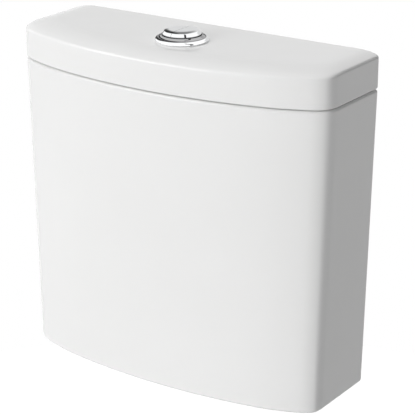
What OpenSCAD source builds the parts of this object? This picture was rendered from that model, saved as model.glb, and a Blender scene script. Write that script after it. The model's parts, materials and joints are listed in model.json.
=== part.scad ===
// Close-coupled toilet cistern: glazed tank and lid, dual-flush push button, flush valve, fill valve
// and coupling kit. The origin lies on the flush outlet's axis, in the plane of the tank's foot.
// X points right, the bowed front faces -Y, Z points up, and every length is in millimetres.

/* [Tank] */
// Width of the tank at its foot
base_w = 363; // [345:1:385]
// Height of the tank from foot to rim
tank_h = 326; // [312:1:380]
// Depth of the tank's flat side at the foot
base_side_d = 106.5; // [100:0.5:125]
// How far the tank's front bows out at the foot
base_bow = 25.5; // [20:0.5:38]
// Radius of the shoulder between the bowed front and the front corner
shoulder_r = 230; // [180:5:320]
// Width of the shoulder
shoulder_w = 67; // [50:1:85]
// Radius of the easing on both sides of a front corner
ease_r = 40; // [32:1:46]
// Radius of the front corners at the rim and in the lid
corner_r = 17; // [15:0.5:22]
// Radius of the front corners at the foot
base_corner_r = 10.5; // [10:0.5:15]
// Direction in which a front corner leaves its easing at the front, in degrees from straight ahead
corner_from = 45; // [42:1:50]
// Direction in which a front corner meets its easing at the side, in degrees from straight ahead
corner_to = 74; // [70:1:78]
// Radius of the back corners
back_corner_r = 6; // [3:0.5:10]
// Radius inside the tank's upright corners
inner_corner_r = 8; // [5:0.5:12]
// Thickness of the tank's walls
wall_t = 11; // [9.5:0.25:12]
// Thickness of the tank's floor
floor_t = 12; // [10:0.5:15]
// Radius between the floor and the walls, inside
floor_r = 4; // [2:0.25:4.5]
// Height of the foot rim below the floor
foot_h = 14; // [12:0.5:18]
// Thickness of the foot rim
foot_t = 9; // [7:0.5:10]
// Radius of the tank's lower edge
foot_edge_r = 4; // [2:0.5:6]
// Radius of the rim's outer edge
rim_r = 3; // [1.5:0.25:3.5]
// Radius of the rim's inner edge
rim_inner_r = 2; // [1:0.25:2.5]

/* [Lid] */
// Width of the lid, the widest piece
lid_w = 380; // [365:1:400]
// Depth of the lid's flat side, from the tank's back to where the bowed front would meet it
side_d = 107; // [100:0.5:125]
// How far the lid's front bows out
bow = 34; // [26:0.5:44]
// How far the lid stands out past the rim at its sides and front
lid_overhang = 0.3; // [0:0.1:2]
// How far the lid's back stays in front of the tank's back
lid_back_gap = 0.3; // [0.1:0.1:2]
// Height of the lid
lid_h = 38; // [35:0.5:44]
// Thickness of the lid's top
lid_top_t = 12; // [10:0.5:14]
// Radius of the lid's top edge
lid_edge_r = 4; // [3:0.25:5]
// Width over which the lid's top rolls off towards its front
front_roll_w = 28; // [24:0.5:30]
// How far the lid's top falls towards its front
front_roll_h = 5.7; // [4:0.1:6.5]
// Width over which the lid's top rolls off towards its sides
side_roll_w = 20; // [16:0.5:26]
// How far the lid's top falls towards its sides
side_roll_h = 3.2; // [2:0.1:3.8]
// Radius of the lid's lower edge
lid_foot_r = 2; // [1.5:0.25:3]
// Thickness of the rib that keeps the lid in place
rib_t = 6; // [4:0.5:8]
// How far the rib reaches down into the tank
rib_h = 8.5; // [5:0.5:14]
// Clearance between the rib and the tank's wall
rib_gap = 3; // [2:0.25:5]
// Thickness of the soft pads between rim and lid
pad_t = 1; // [0.8:0.1:3]
// Radius of a pad
pad_r = 2.8; // [2:0.1:3]
// Distance of the rear pads from the tank's back
pad_rear_d = 22; // [18:1:35]
// Distance of the front pads from the tank's back
pad_front_d = 78; // [66:1:80]

/* [Wall fixing] */
// Distance between the two wall screw holes
wall_hole_spacing = 200; // [160:1:240]
// Radius of a wall screw hole
wall_hole_r = 4; // [3:0.25:5]
// Depth of the wall screw holes below the rim
wall_hole_drop = 36; // [28:1:50]

/* [Push button] */
// Distance from the tank's back to the middle of the button
button_setback = 75; // [74:0.5:79]
// Radius of the bezel
bezel_r = 28; // [27:0.25:32]
// Height of the bezel's round outer bead above its gasket
bead_h = 3.7; // [3:0.1:4]
// Height of the bezel's inner collar above the lid
collar_top_h = 6.4; // [6:0.1:6.8]
// Radius of the bezel's barrel
barrel_r = 22.4; // [22.1:0.1:23]
// Length of the barrel below the lid's top
barrel_l = 25; // [23:0.5:30]
// Thickness of the barrel's floor
barrel_floor_t = 3; // [2:0.25:4]
// Clearance between the barrel and the hole in the lid
barrel_gap = 0.6; // [0.3:0.1:1.5]
// Thickness of the gasket under the bezel
bezel_gasket_t = 0.6; // [0.4:0.1:1]
// Height of the ring nut under the lid
bezel_nut_h = 8; // [6:0.5:10]
// Radius of the ring nut under the lid
bezel_nut_r = 31; // [27:0.5:36]
// Radius of the buttons at their collar
button_r = 20.3; // [19.5:0.1:20.8]
// Radius of the level middle of the buttons' top
button_flat_r = 11; // [8:0.5:14]
// Radius of the buttons' top out to its rounded edge
button_top_r = 17.6; // [16.5:0.1:18]
// Height of the buttons' top above the lid
button_top_h = 12; // [11:0.25:14]
// How far the top falls off from its level middle to the rounded edge
button_fall = 1.3; // [0.8:0.1:1.6]
// Radius of the rounded edge above the bevel
button_edge_r = 1.5; // [0.8:0.1:1.8]
// Height of the bevel's foot above the lid
button_bevel_h = 7.2; // [7:0.1:8]
// How far the buttons' skirt reaches below the lid's top
button_skirt_d = 4; // [2:0.5:6]
// Thickness of the buttons' shell
button_t = 2; // [1.5:0.25:3]
// Clearance between the buttons and the bezel
button_gap = 0.5; // [0.3:0.05:0.8]
// Gap between the two buttons
seam_gap = 0.5; // [0.3:0.1:1.5]
// Radius of the bosses that hold the rods
boss_r = 4.9; // [4.2:0.1:5]
// Sideways distance of each rod from the middle
rod_x = 10; // [9.5:0.25:10.5]
// How far the rods stand in front of the button's middle
rod_forward = 11; // [10:0.25:11.5]
// Radius of the rods
rod_r = 2.5; // [2:0.1:2.8]
// How deep the rods sit in their bosses
rod_seat = 9; // [6:0.5:11]
// Clearance round the rods in the barrel's floor
rod_gap = 0.3; // [0.2:0.05:0.6]
// Radius of the return springs, to the middle of the wire
spring_r = 4; // [3.8:0.1:4.2]
// Radius of the spring wire
spring_wire_r = 0.45; // [0.3:0.05:0.55]
// Turns of each return spring
spring_turns = 5; // [3:1:7]

/* [Flush valve] */
// Distance from the tank's back to the flush outlet's axis
outlet_setback = 56; // [55:0.5:58]
// Radius of the outlet tail's thread
tail_r = 29.8; // [28:0.1:31]
// Radius of the outlet's bore
outlet_r = 25; // [22:0.5:25.5]
// Length of the outlet tail below the tank's floor
tail_l = 28; // [24:0.5:32]
// Clearance between the tail and the hole in the floor
tail_gap = 1.2; // [0.8:0.1:2]
// Radius of the valve's flange
flange_r = 40; // [39.5:0.25:40.5]
// Thickness of the valve's flange
flange_t = 6; // [4:0.5:8]
// Thickness of the rubber ring under the flange
valve_gasket_t = 4; // [3:0.5:6]
// Height of the valve seat above the flange
seat_h = 4; // [3:0.5:6]
// Thickness of the valve seat's lip
seat_t = 2.5; // [2:0.25:3]
// Height of the water ports above the flange
port_h = 42; // [38:1:50]
// Number of legs between the water ports
port_legs = 6; // [4:1:8]
// Radius of the cage, to the middle of its legs and posts
cage_r = 36.5; // [36:0.25:37]
// Radial thickness of the cage
cage_t = 5; // [4:0.5:6]
// Width of the cage's legs and posts
post_w = 8; // [6:0.5:10]
// Height of each ring of the cage
ring_h = 6; // [4:0.5:8]
// Height of the tower above the water ports
tower_h = 152; // [140:1:160]
// Thickness of the tower's top plate
plate_t = 6; // [4:0.5:8]
// Height of the tower's middle ring above the water ports
middle_ring_h = 76; // [60:1:80]
// Thickness of the ring nut under the floor
backnut_h = 10; // [8:0.5:12]
// Radius of the ring nut under the floor
backnut_r = 37; // [35:0.5:38]
// Radius of the soft ring between tank and pan
coupling_gasket_r = 44; // [43:0.5:45]
// Thickness of the soft ring between tank and pan
coupling_gasket_h = 20; // [16:0.5:24]
// Radius of the overflow tube
tube_r = 13; // [11:0.25:13]
// Wall of the overflow tube
tube_t = 2.2; // [1.5:0.1:3]
// Height of the overflow tube above its collar
tube_above = 10; // [6:1:20]
// Clearance between the tube and the tower's top plate
tube_gap = 0.4; // [0.3:0.05:0.8]
// Radius of the plug at the tube's foot
plug_r = 31.5; // [30.5:0.25:32.5]
// Thickness of the plug
plug_t = 4; // [3:0.5:6]
// Thickness of the soft flush seal
seal_t = 4; // [3:0.25:5]
// Thickness of the ring that keeps the seal on
retainer_t = 3; // [2:0.25:4]
// Radius of the ring that keeps the seal on
retainer_r = 20; // [17:0.5:22]
// Wall of the collar that the lever lifts
collar_t = 3.8; // [3:0.1:4]
// Height of that collar
collar_h = 6.6; // [5:0.2:9]

/* [Levers] */
// How far the lever pins stand in front of the outlet's axis
pivot_forward = 17; // [16.5:0.25:18]
// Height of the lever pins above the top plate
pivot_h = 16; // [14:0.5:20]
// Radius of the lever pins
pin_r = 1.5; // [1.2:0.1:1.8]
// Clearance of a lever on its pin
pin_gap = 0.05; // [0.03:0.01:0.1]
// Radius of the levers' hub and nose
hub_r = 3; // [2.8:0.1:3.2]
// Distance from a lever's pin to its lifting nose
lift_arm = 22; // [19:0.5:23]
// Distance of the levers' arms from the middle, to their inner side
arm_x = 18; // [17.8:0.1:19]
// Width of a lever's forked arm
arm_w = 8.5; // [8:0.25:9]
// Width of a prong of the fork
prong_w = 2.2; // [1.8:0.1:2.4]
// Thickness of a lever's bars
lever_t = 4.6; // [4:0.2:5.4]
// Width of a lever's pad
pad_w = 6; // [4:0.5:6]
// How far a lever's pad reaches past the rod
pad_reach = 3; // [2:0.5:4]
// Thickness of the ears that hold the pins
ear_t = 2; // [1.5:0.25:2.5]
// Clearance between a lever's hub and the ears
ear_gap = 0.8; // [0.4:0.1:1]
// Rest gap between the levers and what they touch
touch_gap = 0.4; // [0.3:0.05:0.6]
// Radius of the half-flush link's stem
stem_r = 1.6; // [1.2:0.1:1.7]
// Clearance of the stem in the top plate
stem_gap = 0.3; // [0.2:0.05:0.6]
// Thickness of the link's head and foot
link_t = 3; // [2.5:0.25:4]
// Radius of the small float's rail
rail_r = 2.5; // [2:0.1:3]
// Distance of the rail behind the outlet's axis
rail_back = 34; // [33:0.25:35]
// Radius of the small float
small_float_r = 8; // [7:0.25:8.5]
// Height of the small float
small_float_h = 28; // [20:1:30]
// Travel of the small float
small_float_travel = 15; // [10:1:16]
// Clearance of the small float on its rail
float_gap = 0.3; // [0.2:0.05:0.6]

/* [Fill valve] */
// Sideways distance of the fill valve from the outlet
fill_x = 118; // [114:1:124]
// Radius of the inlet tail's thread
inlet_r = 10.48; // [9:0.02:11.5]
// Radius of the inlet's bore
inlet_bore_r = 6.5; // [5:0.25:7]
// Length of the inlet tail below the tank's floor
inlet_l = 42; // [36:1:50]
// Clearance between the inlet tail and the hole in the floor
inlet_gap = 1; // [0.6:0.1:2]
// Depth of the groove that ends the tail's free thread
relief_d = 0.8; // [0.5:0.1:1.2]
// Width of that groove
relief_w = 1.5; // [1:0.25:2]
// Height of the inlet's lock nut
locknut_h = 9; // [7:0.5:11]
// Radius of the inlet's lock nut over its corners
locknut_r = 17; // [15:0.5:20]
// Radius of the inlet's flange
inlet_flange_r = 17; // [15:0.5:19]
// Thickness of the inlet's flange
inlet_flange_t = 4; // [3:0.5:6]
// Thickness of the inlet's cone washer
inlet_washer_t = 5; // [4:0.5:7]
// How far the cone washer flares out past the flange
washer_flare = 2; // [1:0.25:4]
// Radius of the standpipe
riser_r = 11; // [10:0.25:11.5]
// Height of the standpipe above the tank's floor
riser_h = 209; // [205:1:225]
// Wall of the strainer in the tail
strainer_t = 1.2; // [0.8:0.1:1.6]
// Length of the strainer
strainer_l = 26; // [18:1:34]
// Radius of the valve head
head_r = 16; // [15:0.25:17]
// Height of the valve head above the standpipe
head_h = 23; // [20:1:28]
// How far the valve head draws in towards its lower end
head_taper = 1; // [0.5:0.25:2]
// How far the head reaches down over the standpipe
head_socket = 10; // [6:0.5:12]
// Thickness of the head's cap
cap_t = 9; // [7:0.5:12]
// Radius of the head's cap
cap_r = 17.5; // [16.5:0.25:19]
// Radius of the float cup
cup_r = 31; // [28:0.5:32]
// Height of the float cup
cup_h = 62; // [50:1:64]
// Wall of the float cup
cup_t = 2.2; // [1.5:0.1:3]
// Clearance between the float cup and the standpipe
cup_gap = 0.4; // [0.3:0.05:0.8]
// Travel of the float cup
cup_travel = 12; // [8:0.5:13]
// Distance of the link rod in front of the standpipe's axis
link_forward = 26; // [25:0.25:26.5]
// Radius of the link rod
link_r = 2; // [1.6:0.1:2.3]
// Radius of the link rod's collar
link_collar_r = 4.2; // [3.8:0.1:5]
// Thickness of the link rod's collar
link_collar_t = 3; // [2:0.25:4]
// Height of the socket that holds the link rod on the float cup
cup_boss_h = 8; // [6:0.5:12]
// Distance of the arm's pin behind the standpipe's axis
arm_pin_back = 9; // [7:0.5:11]
// Radius of the ears that hold the arm's pin
arm_ear_r = 3.5; // [3:0.25:4]
// Thickness of the float arm
arm_t = 5; // [4:0.25:5.5]
// Width of the float arm
float_arm_w = 7.2; // [6:0.2:8]
// Width of the float arm's tip
arm_tip_w = 11; // [10:0.5:13]
// Length of the slot in the float arm's tip
arm_slot_l = 12; // [11.5:0.5:14]
// Play between the link rod's collar and the float arm
collar_play = 2; // [1.5:0.25:3]
// Play between the thumb nut and the float arm
thumb_play = 3; // [2.5:0.25:4]
// Radius of the thumb nut on the link rod
thumb_r = 6.5; // [5.5:0.25:8]
// Height of the thumb nut
thumb_h = 6; // [4:0.5:8]
// Radius of the down pipe
pipe_r = 6.5; // [5.5:0.25:7]
// Wall of the down pipe
pipe_t = 1.5; // [1:0.1:2]
// Distance of the down pipe from the standpipe's axis
pipe_d = 41; // [40.5:0.5:44]
// Height of the down pipe's open end above the tank's floor
pipe_end_h = 19; // [12:1:40]

/* [Coupling kit] */
// Distance between the two coupling bolts
bolt_spacing = 150; // [146:1:160]
// Radius of the coupling bolts' thread
bolt_r = 4; // [3:0.25:5]
// Length of the bolts below the tank's floor
stud_l = 40; // [34:1:46]
// Radius of the bolt heads
bolt_head_r = 8; // [6.5:0.25:9]
// Height of the bolt heads
bolt_head_h = 5; // [4:0.25:6.5]
// Clearance between a bolt and the hole in the floor
bolt_gap = 2; // [1:0.1:3]
// Clearance between a bolt and its washers
washer_gap = 0.3; // [0.2:0.05:0.6]
// Radius of the rubber cone washers
bolt_seal_r = 12; // [10.5:0.25:14]
// Thickness of the rubber cone washers
bolt_seal_t = 6; // [4:0.5:8]
// Radius of the steel washers
washer_r = 9.5; // [8:0.25:10]
// Thickness of the steel washers
washer_t = 1.6; // [1.2:0.1:2.5]
// Height of the bolts' hexagon nuts
hex_h = 6.5; // [5:0.25:8]
// Radius of the hexagon nuts over their corners
hex_r = 7.5; // [6.75:0.25:9]

/* [Hidden] */
$fn = 64;

// Colours of the materials
glaze = [0.95, 0.95, 0.94];
chrome = [0.80, 0.81, 0.83];
steel = [0.66, 0.67, 0.68];
brass = [0.78, 0.63, 0.34];
white_plastic = [0.90, 0.91, 0.90];
grey_plastic = [0.56, 0.60, 0.63];
blue_plastic = [0.22, 0.42, 0.62];
soft_clear = [0.80, 0.80, 0.78];
black_rubber = [0.13, 0.13, 0.13];

// Overrun of cutting shapes, and the slip that keeps seated round faces apart
cut = 1;
slip = 0.03;

// Steps along the parts of an outline
front_steps = 12;
shoulder_steps = 4;
ease_steps = 3;
corner_steps = 5;
edge_steps = 4;
roll_steps = 12;
bead_steps = 10;

// Levels of the ceramic pieces
under_z = foot_h;
floor_z = foot_h + floor_t;
lid_z = tank_h + pad_t;
lid_top_z = lid_z + lid_h;
lid_under_z = lid_top_z - lid_top_t;
back_y = outlet_setback;
lid_back_y = back_y - lid_back_gap;
rim_w = lid_w - 2*lid_overhang;
rim_flat = wall_t - rim_r - rim_inner_r;
sharp_r = 1.5;

// Places of the push button
button_y = back_y - button_setback;
rod_y = button_y - rod_forward;
bezel_z = lid_top_z + bezel_gasket_t;
barrel_bore_r = button_r + button_gap;
barrel_floor_z = lid_top_z - barrel_l + barrel_floor_t;
button_foot_z = lid_top_z - button_skirt_d;
lid_hole_r = barrel_r + barrel_gap;

// Levels of the flush valve
base_z = floor_z + valve_gasket_t;
flange_top_z = base_z + flange_t;
seat_z = flange_top_z + seat_h;
tower_z = flange_top_z + port_h + ring_h;
plate_z = tower_z + tower_h;
middle_ring_z = tower_z + middle_ring_h;
pivot_z = plate_z + pivot_h;
lift_z = pivot_z + hub_r + touch_gap;
tube_top_z = lift_z + collar_h + tube_above;
tube_foot_z = seat_z - retainer_t - touch_gap;
seat_inner_r = outlet_r + seat_t;
cage_inner_r = cage_r - cage_t/2;
cage_outer_r = cage_r + cage_t/2;
post_angles = [12, 168, 232, 308];
nose_y = lift_arm - pivot_forward;
arm_mid_x = arm_x + arm_w/2;
small_float_z = middle_ring_z + ring_h + float_gap;
foot_z = small_float_z + small_float_h + small_float_travel + 4*float_gap;

// Levels of the fill valve
inlet_z = floor_z + inlet_washer_t;
inlet_end_z = under_z - inlet_l;
relief_z = under_z - locknut_h - relief_w;
riser_top_z = floor_z + riser_h;
cap_z = riser_top_z + head_h;
cap_top_z = cap_z + cap_t;
arm_pin_z = cap_top_z + arm_t;
cup_z = riser_top_z - head_socket - cup_travel - cup_h - cup_gap;
pipe_stub_z = riser_top_z + head_h/2;
pipe_turn = 45;

// Levels of the coupling kit
head_washer_z = floor_z + bolt_seal_t;
bolt_head_z = head_washer_z + washer_t;
clamp_washer_z = under_z - washer_t;
hex_z = clamp_washer_z - hex_h;

function mix(a, b, t) = a + (b - a)*t;

function arc(x, y, r, from, to, steps, first = 0) =
    [for (i = [first:steps]) let (a = mix(from, to, i/steps)) [x + r*cos(a), y + r*sin(a)]];

// Shoulder of a plan outline: its middle and the direction in which it leaves the bowed front
function shoulder(half_w, d, bow) =
    let (
        front_r = (half_w*half_w + bow*bow)/(2*bow),
        front_y = back_y - d - bow + front_r,
        turn = asin((half_w - shoulder_w)/front_r),
        far = front_r - shoulder_r
    )
    [far*sin(turn), front_y - far*cos(turn), turn, front_y, front_r];

// Right half of an outer plan outline, from the middle of the front round to the back corner:
// bowed front, shoulder, eased front corner, flat side and back corner
function half_skin(half_w, d, bow, tight_r, inset, back) =
    let (
        s = shoulder(half_w, d, bow),
        turn = s[2],
        far = shoulder_r - ease_r,
        near = ease_r - tight_r,
        start = asin((half_w - ease_r - s[0] + near*(sin(corner_to) - sin(corner_from)))/far),
        ex = s[0] + far*sin(start),
        ey = s[1] - far*cos(start),
        cx = ex + near*sin(corner_from),
        cy = ey - near*cos(corner_from),
        br = max(back_corner_r - inset, sharp_r)
    )
    concat(
        arc(0, s[3], s[4] - inset, -90, turn - 90, front_steps),
        arc(s[0], s[1], shoulder_r - inset, turn - 90, start - 90, shoulder_steps, 1),
        arc(ex, ey, ease_r - inset, start - 90, corner_from - 90, ease_steps, 1),
        arc(cx, cy, tight_r - inset, corner_from - 90, corner_to - 90, corner_steps, 1),
        arc(half_w - ease_r, cy + near*cos(corner_to), ease_r - inset, corner_to - 90, 0, ease_steps, 1),
        arc(half_w - inset - br, back - inset - br, br, 0, 90, edge_steps)
    );

// Right half of an inner plan outline: bowed front, shoulder, one round corner, flat side and back corner
function half_hollow(half_w, d, bow, inset, back) =
    let (
        s = shoulder(half_w, d, bow),
        turn = s[2],
        sr = shoulder_r - inset,
        r = inner_corner_r,
        cx = half_w - inset - r,
        cy = s[1] - sqrt(pow(sr - r, 2) - pow(cx - s[0], 2)),
        corner = atan2(cx - s[0], s[1] - cy)
    )
    concat(
        arc(0, s[3], s[4] - inset, -90, turn - 90, front_steps),
        arc(s[0], s[1], sr, turn - 90, corner - 90, shoulder_steps, 1),
        arc(cx, cy, r, corner - 90, 0, corner_steps, 1),
        arc(cx, back - inset - r, r, 0, 90, edge_steps)
    );

function whole_plan(right) =
    concat(right, [for (i = [len(right) - 1:-1:1]) [-right[i][0], right[i][1]]]);

// Half width, side depth, bow and corner radius of the tank at a height
function tank_size(z) =
    let (t = z/tank_h)
    [mix(base_w, rim_w, t)/2, mix(base_side_d, side_d - lid_overhang, t), mix(base_bow, bow, t),
     mix(base_corner_r, corner_r, t)];

// Plan of the tank's outside at a height, drawn in by an inset
function tank_skin(z, inset) =
    let (size = tank_size(z))
    whole_plan(half_skin(size[0], size[1], size[2], size[3], inset, back_y));

// Plan of a hollow in the tank at a height, drawn in by an inset
function tank_hollow(z, inset) =
    let (size = tank_size(z))
    whole_plan(half_hollow(size[0], size[1], size[2], inset, back_y));

// Plan of the lid's lower edge, drawn in by an inset
function lid_skin(inset) =
    whole_plan(half_skin(lid_w/2, side_d, bow, corner_r, inset, lid_back_y));

// Plan of the lid's rib and hollow, drawn in by an inset
function lid_hollow(inset) =
    whole_plan(half_hollow(lid_w/2, side_d, bow, inset, lid_back_y));

// How far the lid's top edge is drawn in at a depth below the top: a roll-off of a width and a height,
// which starts level, and then the edge's own radius down to the upright side
function roll_inset(depth, w, h) =
    let (
        r = (w*w + h*h)/(2*h),
        tilt = asin(w/r),
        past = depth - h,
        upright = cos(tilt) - past/lid_edge_r
    )
    past <= 0 ? w + lid_edge_r*(1 - sin(tilt)) - sqrt(r*r - pow(r - depth, 2))
    : upright <= 0 ? 0
    : lid_edge_r*(1 - sqrt(1 - upright*upright));

// Depth at which a roll-off and the edge below it have reached the upright side
function roll_depth(w, h) = h + lid_edge_r*cos(2*atan(h/w));

// Plan of the lid's top edge at a depth below the top
function lid_edge(depth) =
    let (
        back_up = max(1 - depth/lid_edge_r, 0),
        back_inset = lid_edge_r*(1 - sqrt(1 - back_up*back_up))
    )
    whole_plan(half_skin(lid_w/2 - roll_inset(depth, side_roll_w, side_roll_h),
                         side_d - roll_inset(depth, front_roll_w, front_roll_h),
                         bow, corner_r, 0, lid_back_y - back_inset));

// Closed skin through plan outlines that all have the same number of points
module loft(levels) {
    n = len(levels[0][1]);
    last = len(levels) - 1;
    polyhedron(
        points = [for (level = levels) for (p = level[1]) [p[0], p[1], level[0]]],
        faces = concat(
            [[for (i = [0:n - 1]) i]],
            [[for (i = [n - 1:-1:0]) last*n + i]],
            [for (k = [0:last - 1]) for (i = [0:n - 1])
                [k*n + i, (k + 1)*n + i, (k + 1)*n + (i + 1)%n]],
            [for (k = [0:last - 1]) for (i = [0:n - 1])
                [k*n + i, (k + 1)*n + (i + 1)%n, k*n + (i + 1)%n]]
        )
    );
}

function quarter(i) = 90*i/edge_steps;

tank_outside = concat(
    [for (i = [0:edge_steps]) let (z = foot_edge_r*(1 - cos(quarter(i))))
        [z, tank_skin(z, foot_edge_r*(1 - sin(quarter(i))))]],
    [for (i = [0:edge_steps]) let (z = tank_h - rim_r*(1 - sin(quarter(i))))
        [z, tank_skin(z, rim_r*(1 - cos(quarter(i))))]]
);

tank_inside = concat(
    [for (i = [0:edge_steps]) let (z = floor_z + floor_r*(1 - cos(quarter(i))))
        [z, tank_hollow(z, wall_t + floor_r*(1 - sin(quarter(i))))]],
    [for (i = [0:edge_steps]) let (z = tank_h - rim_inner_r*(1 - sin(quarter(i))))
        [z, tank_hollow(z, wall_t - rim_inner_r*(1 - cos(quarter(i))))]],
    [[tank_h + cut, tank_hollow(tank_h, wall_t - rim_inner_r)]]
);

// The top edge's levels lie closer together towards the level top
roll_max = max(roll_depth(front_roll_w, front_roll_h), roll_depth(side_roll_w, side_roll_h));
lid_outside = concat(
    [for (i = [0:edge_steps])
        [lid_z + lid_foot_r*(1 - cos(quarter(i))), lid_skin(lid_foot_r*(1 - sin(quarter(i))))]],
    [for (i = [roll_steps:-1:0]) let (depth = roll_max*pow(i/roll_steps, 2))
        [lid_top_z - depth, lid_edge(depth)]]
);

module ring(r, bore_r, z, h) {
    translate([0, 0, z]) difference() {
        cylinder(r = r, h = h);
        translate([0, 0, -cut]) cylinder(r = bore_r, h = h + 2*cut);
    }
}

module rod_along_x(r, from, to, y, z) {
    translate([from, y, z]) rotate([0, 90, 0]) cylinder(r = r, h = to - from);
}

module at_bolts() {
    for (side = [-1, 1]) translate([side*bolt_spacing/2, 0, 0]) children();
}

module at_fill() {
    translate([-fill_x, 0, 0]) children();
}

module at_button() {
    translate([0, button_y, 0]) children();
}

module tank() {
    color(glaze) difference() {
        loft(tank_outside);
        loft(tank_inside);
        translate([0, 0, -cut])
            linear_extrude(foot_h + cut) polygon(tank_hollow(0, foot_t));
        cylinder(r = tail_r + tail_gap, h = floor_z + cut);
        at_bolts() cylinder(r = bolt_r + bolt_gap, h = floor_z + cut);
        at_fill() cylinder(r = inlet_r + inlet_gap, h = floor_z + cut);
        for (side = [-1, 1])
            translate([side*wall_hole_spacing/2, back_y - wall_t - cut, tank_h - wall_hole_drop])
                rotate([-90, 0, 0]) cylinder(r = wall_hole_r, h = wall_t + 2*cut);
    }
}

module lid_pads() {
    pad_x = rim_w/2 - rim_r - rim_flat/2;
    color(soft_clear) for (side = [-1, 1]) for (d = [pad_rear_d, pad_front_d])
        translate([side*pad_x, back_y - d, tank_h]) cylinder(r = pad_r, h = pad_t);
}

module lid() {
    rib_inset = wall_t + rib_gap;
    rib_z = lid_z - rib_h;
    color(glaze) difference() {
        union() {
            loft(lid_outside);
            translate([0, 0, rib_z])
                linear_extrude(rib_h + lid_foot_r) polygon(lid_hollow(rib_inset));
        }
        translate([0, 0, rib_z - cut])
            linear_extrude(lid_under_z - rib_z + cut) polygon(lid_hollow(rib_inset + rib_t));
        at_button() translate([0, 0, lid_under_z - cut]) cylinder(r = lid_hole_r, h = lid_top_t + 2*cut);
    }
}

// Profile of the bezel: round outer bead, hollow cove, flat collar, then the barrel below
module bezel_profile() {
    cove_r = collar_top_h - bezel_gasket_t - bead_h + bead_h/10;
    bead_x = bezel_r - bead_h;
    cove_x = min(barrel_bore_r + button_t/2 + cove_r, bead_x);
    foot = barrel_floor_z - barrel_floor_t - bezel_z;
    polygon(concat(
        [[0, foot], [barrel_r, foot], [barrel_r, 0]],
        arc(bead_x, 0, bead_h, 0, 90, bead_steps),
        arc(cove_x, collar_top_h - bezel_gasket_t, cove_r, 270, 180, bead_steps),
        [[barrel_bore_r, collar_top_h - bezel_gasket_t], [barrel_bore_r, foot + barrel_floor_t],
         [0, foot + barrel_floor_t]]
    ));
}

module button_bezel() {
    color(chrome) difference() {
        at_button() translate([0, 0, bezel_z]) rotate_extrude() bezel_profile();
        for (side = [-1, 1])
            translate([side*rod_x, rod_y, barrel_floor_z - barrel_floor_t - cut])
                cylinder(r = rod_r + rod_gap, h = barrel_floor_t + 2*cut);
    }
}

module bezel_gasket() {
    color(black_rubber) at_button()
        ring(bezel_r - bead_h/2, lid_hole_r, lid_top_z, bezel_gasket_t);
}

module bezel_nut() {
    grips = 8;
    color(white_plastic) at_button() difference() {
        ring(bezel_nut_r, barrel_r + slip, lid_under_z - bezel_nut_h, bezel_nut_h);
        for (i = [0:grips - 1]) rotate(i*360/grips)
            translate([bezel_nut_r, 0, lid_under_z - bezel_nut_h - cut])
                cylinder(r = bezel_nut_h/3, h = bezel_nut_h + 2*cut);
    }
}

// Profile of the round button before it is split: straight skirt, bevel, rounded edge, top that falls off
module button_profile() {
    fall_w = button_top_r - button_flat_r;
    crown_r = (fall_w*fall_w + button_fall*button_fall)/(2*button_fall);
    crown_a = asin(fall_w/crown_r);
    edge_x = button_top_r - button_edge_r*sin(crown_a);
    edge_z = button_top_h - crown_r + (crown_r - button_edge_r)*cos(crown_a);
    bevel = [button_r - edge_x, button_bevel_h - edge_z];
    bevel_a = atan2(bevel[1], bevel[0]) + acos(button_edge_r/norm(bevel));
    polygon(concat(
        [[0, -button_skirt_d], [button_r, -button_skirt_d], [button_r, button_bevel_h]],
        arc(edge_x, edge_z, button_edge_r, bevel_a, 90 - crown_a, edge_steps),
        arc(button_flat_r, button_top_h - crown_r, crown_r, 90 - crown_a, 90, bead_steps),
        [[0, button_top_h]]
    ));
}

module button_half(side) {
    color(chrome) difference() {
        union() {
            intersection() {
                at_button() translate([0, 0, lid_top_z]) difference() {
                    rotate_extrude() button_profile();
                    translate([0, 0, -button_skirt_d - cut])
                        cylinder(r = button_r - button_t, h = button_skirt_d + collar_top_h + cut);
                }
                button_space(side);
            }
            translate([side*rod_x, rod_y, button_foot_z])
                cylinder(r = boss_r, h = lid_top_z + collar_top_h + button_t/2 - button_foot_z);
        }
        translate([side*rod_x, rod_y, button_foot_z - cut])
            cylinder(r = rod_r + slip, h = rod_seat + cut);
    }
}

// Room on one side of the seam
module button_space(side) {
    size = 2*bezel_r;
    translate([side*(size + seam_gap)/2, button_y, lid_top_z]) cube(size, center = true);
}

module full_flush_button() { button_half(1); }
module half_flush_button() { button_half(-1); }

module push_rod(side) {
    tip_z = lift_z + rod_r;
    color(steel) translate([side*rod_x, rod_y, 0]) {
        translate([0, 0, tip_z]) cylinder(r = rod_r, h = button_foot_z + rod_seat - tip_z);
        translate([0, 0, tip_z]) sphere(r = rod_r);
    }
}

module full_flush_rod() { push_rod(1); }
module half_flush_rod() { push_rod(-1); }

// Springs: rings of points along a helix
rings_per_turn = 8;
wire_sides = 6;
spring_z = barrel_floor_z + spring_wire_r + slip;
spring_rise = button_foot_z - spring_wire_r - slip - spring_z;
spring_rings = rings_per_turn*spring_turns;

function helix(i) =
    let (a = 360*i/rings_per_turn)
    [spring_r*cos(a), spring_r*sin(a), spring_rise*i/spring_rings];

function wire_point(i, j) =
    let (
        a = 360*i/rings_per_turn,
        slope = atan2(spring_rise, 2*PI*spring_r*spring_turns),
        t = 360*j/wire_sides,
        outward = [cos(a), sin(a), 0],
        upward = [sin(a)*sin(slope), -cos(a)*sin(slope), cos(slope)]
    )
    helix(i) + spring_wire_r*(cos(t)*outward + sin(t)*upward);

spring_self_gap = min([for (i = [0:spring_rings]) for (j = [i + rings_per_turn/2 + 1:spring_rings])
    norm(helix(i) - helix(j)) - 2*spring_wire_r]);
echo(str("least gap of a spring to itself: ", spring_self_gap, " mm"));

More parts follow.
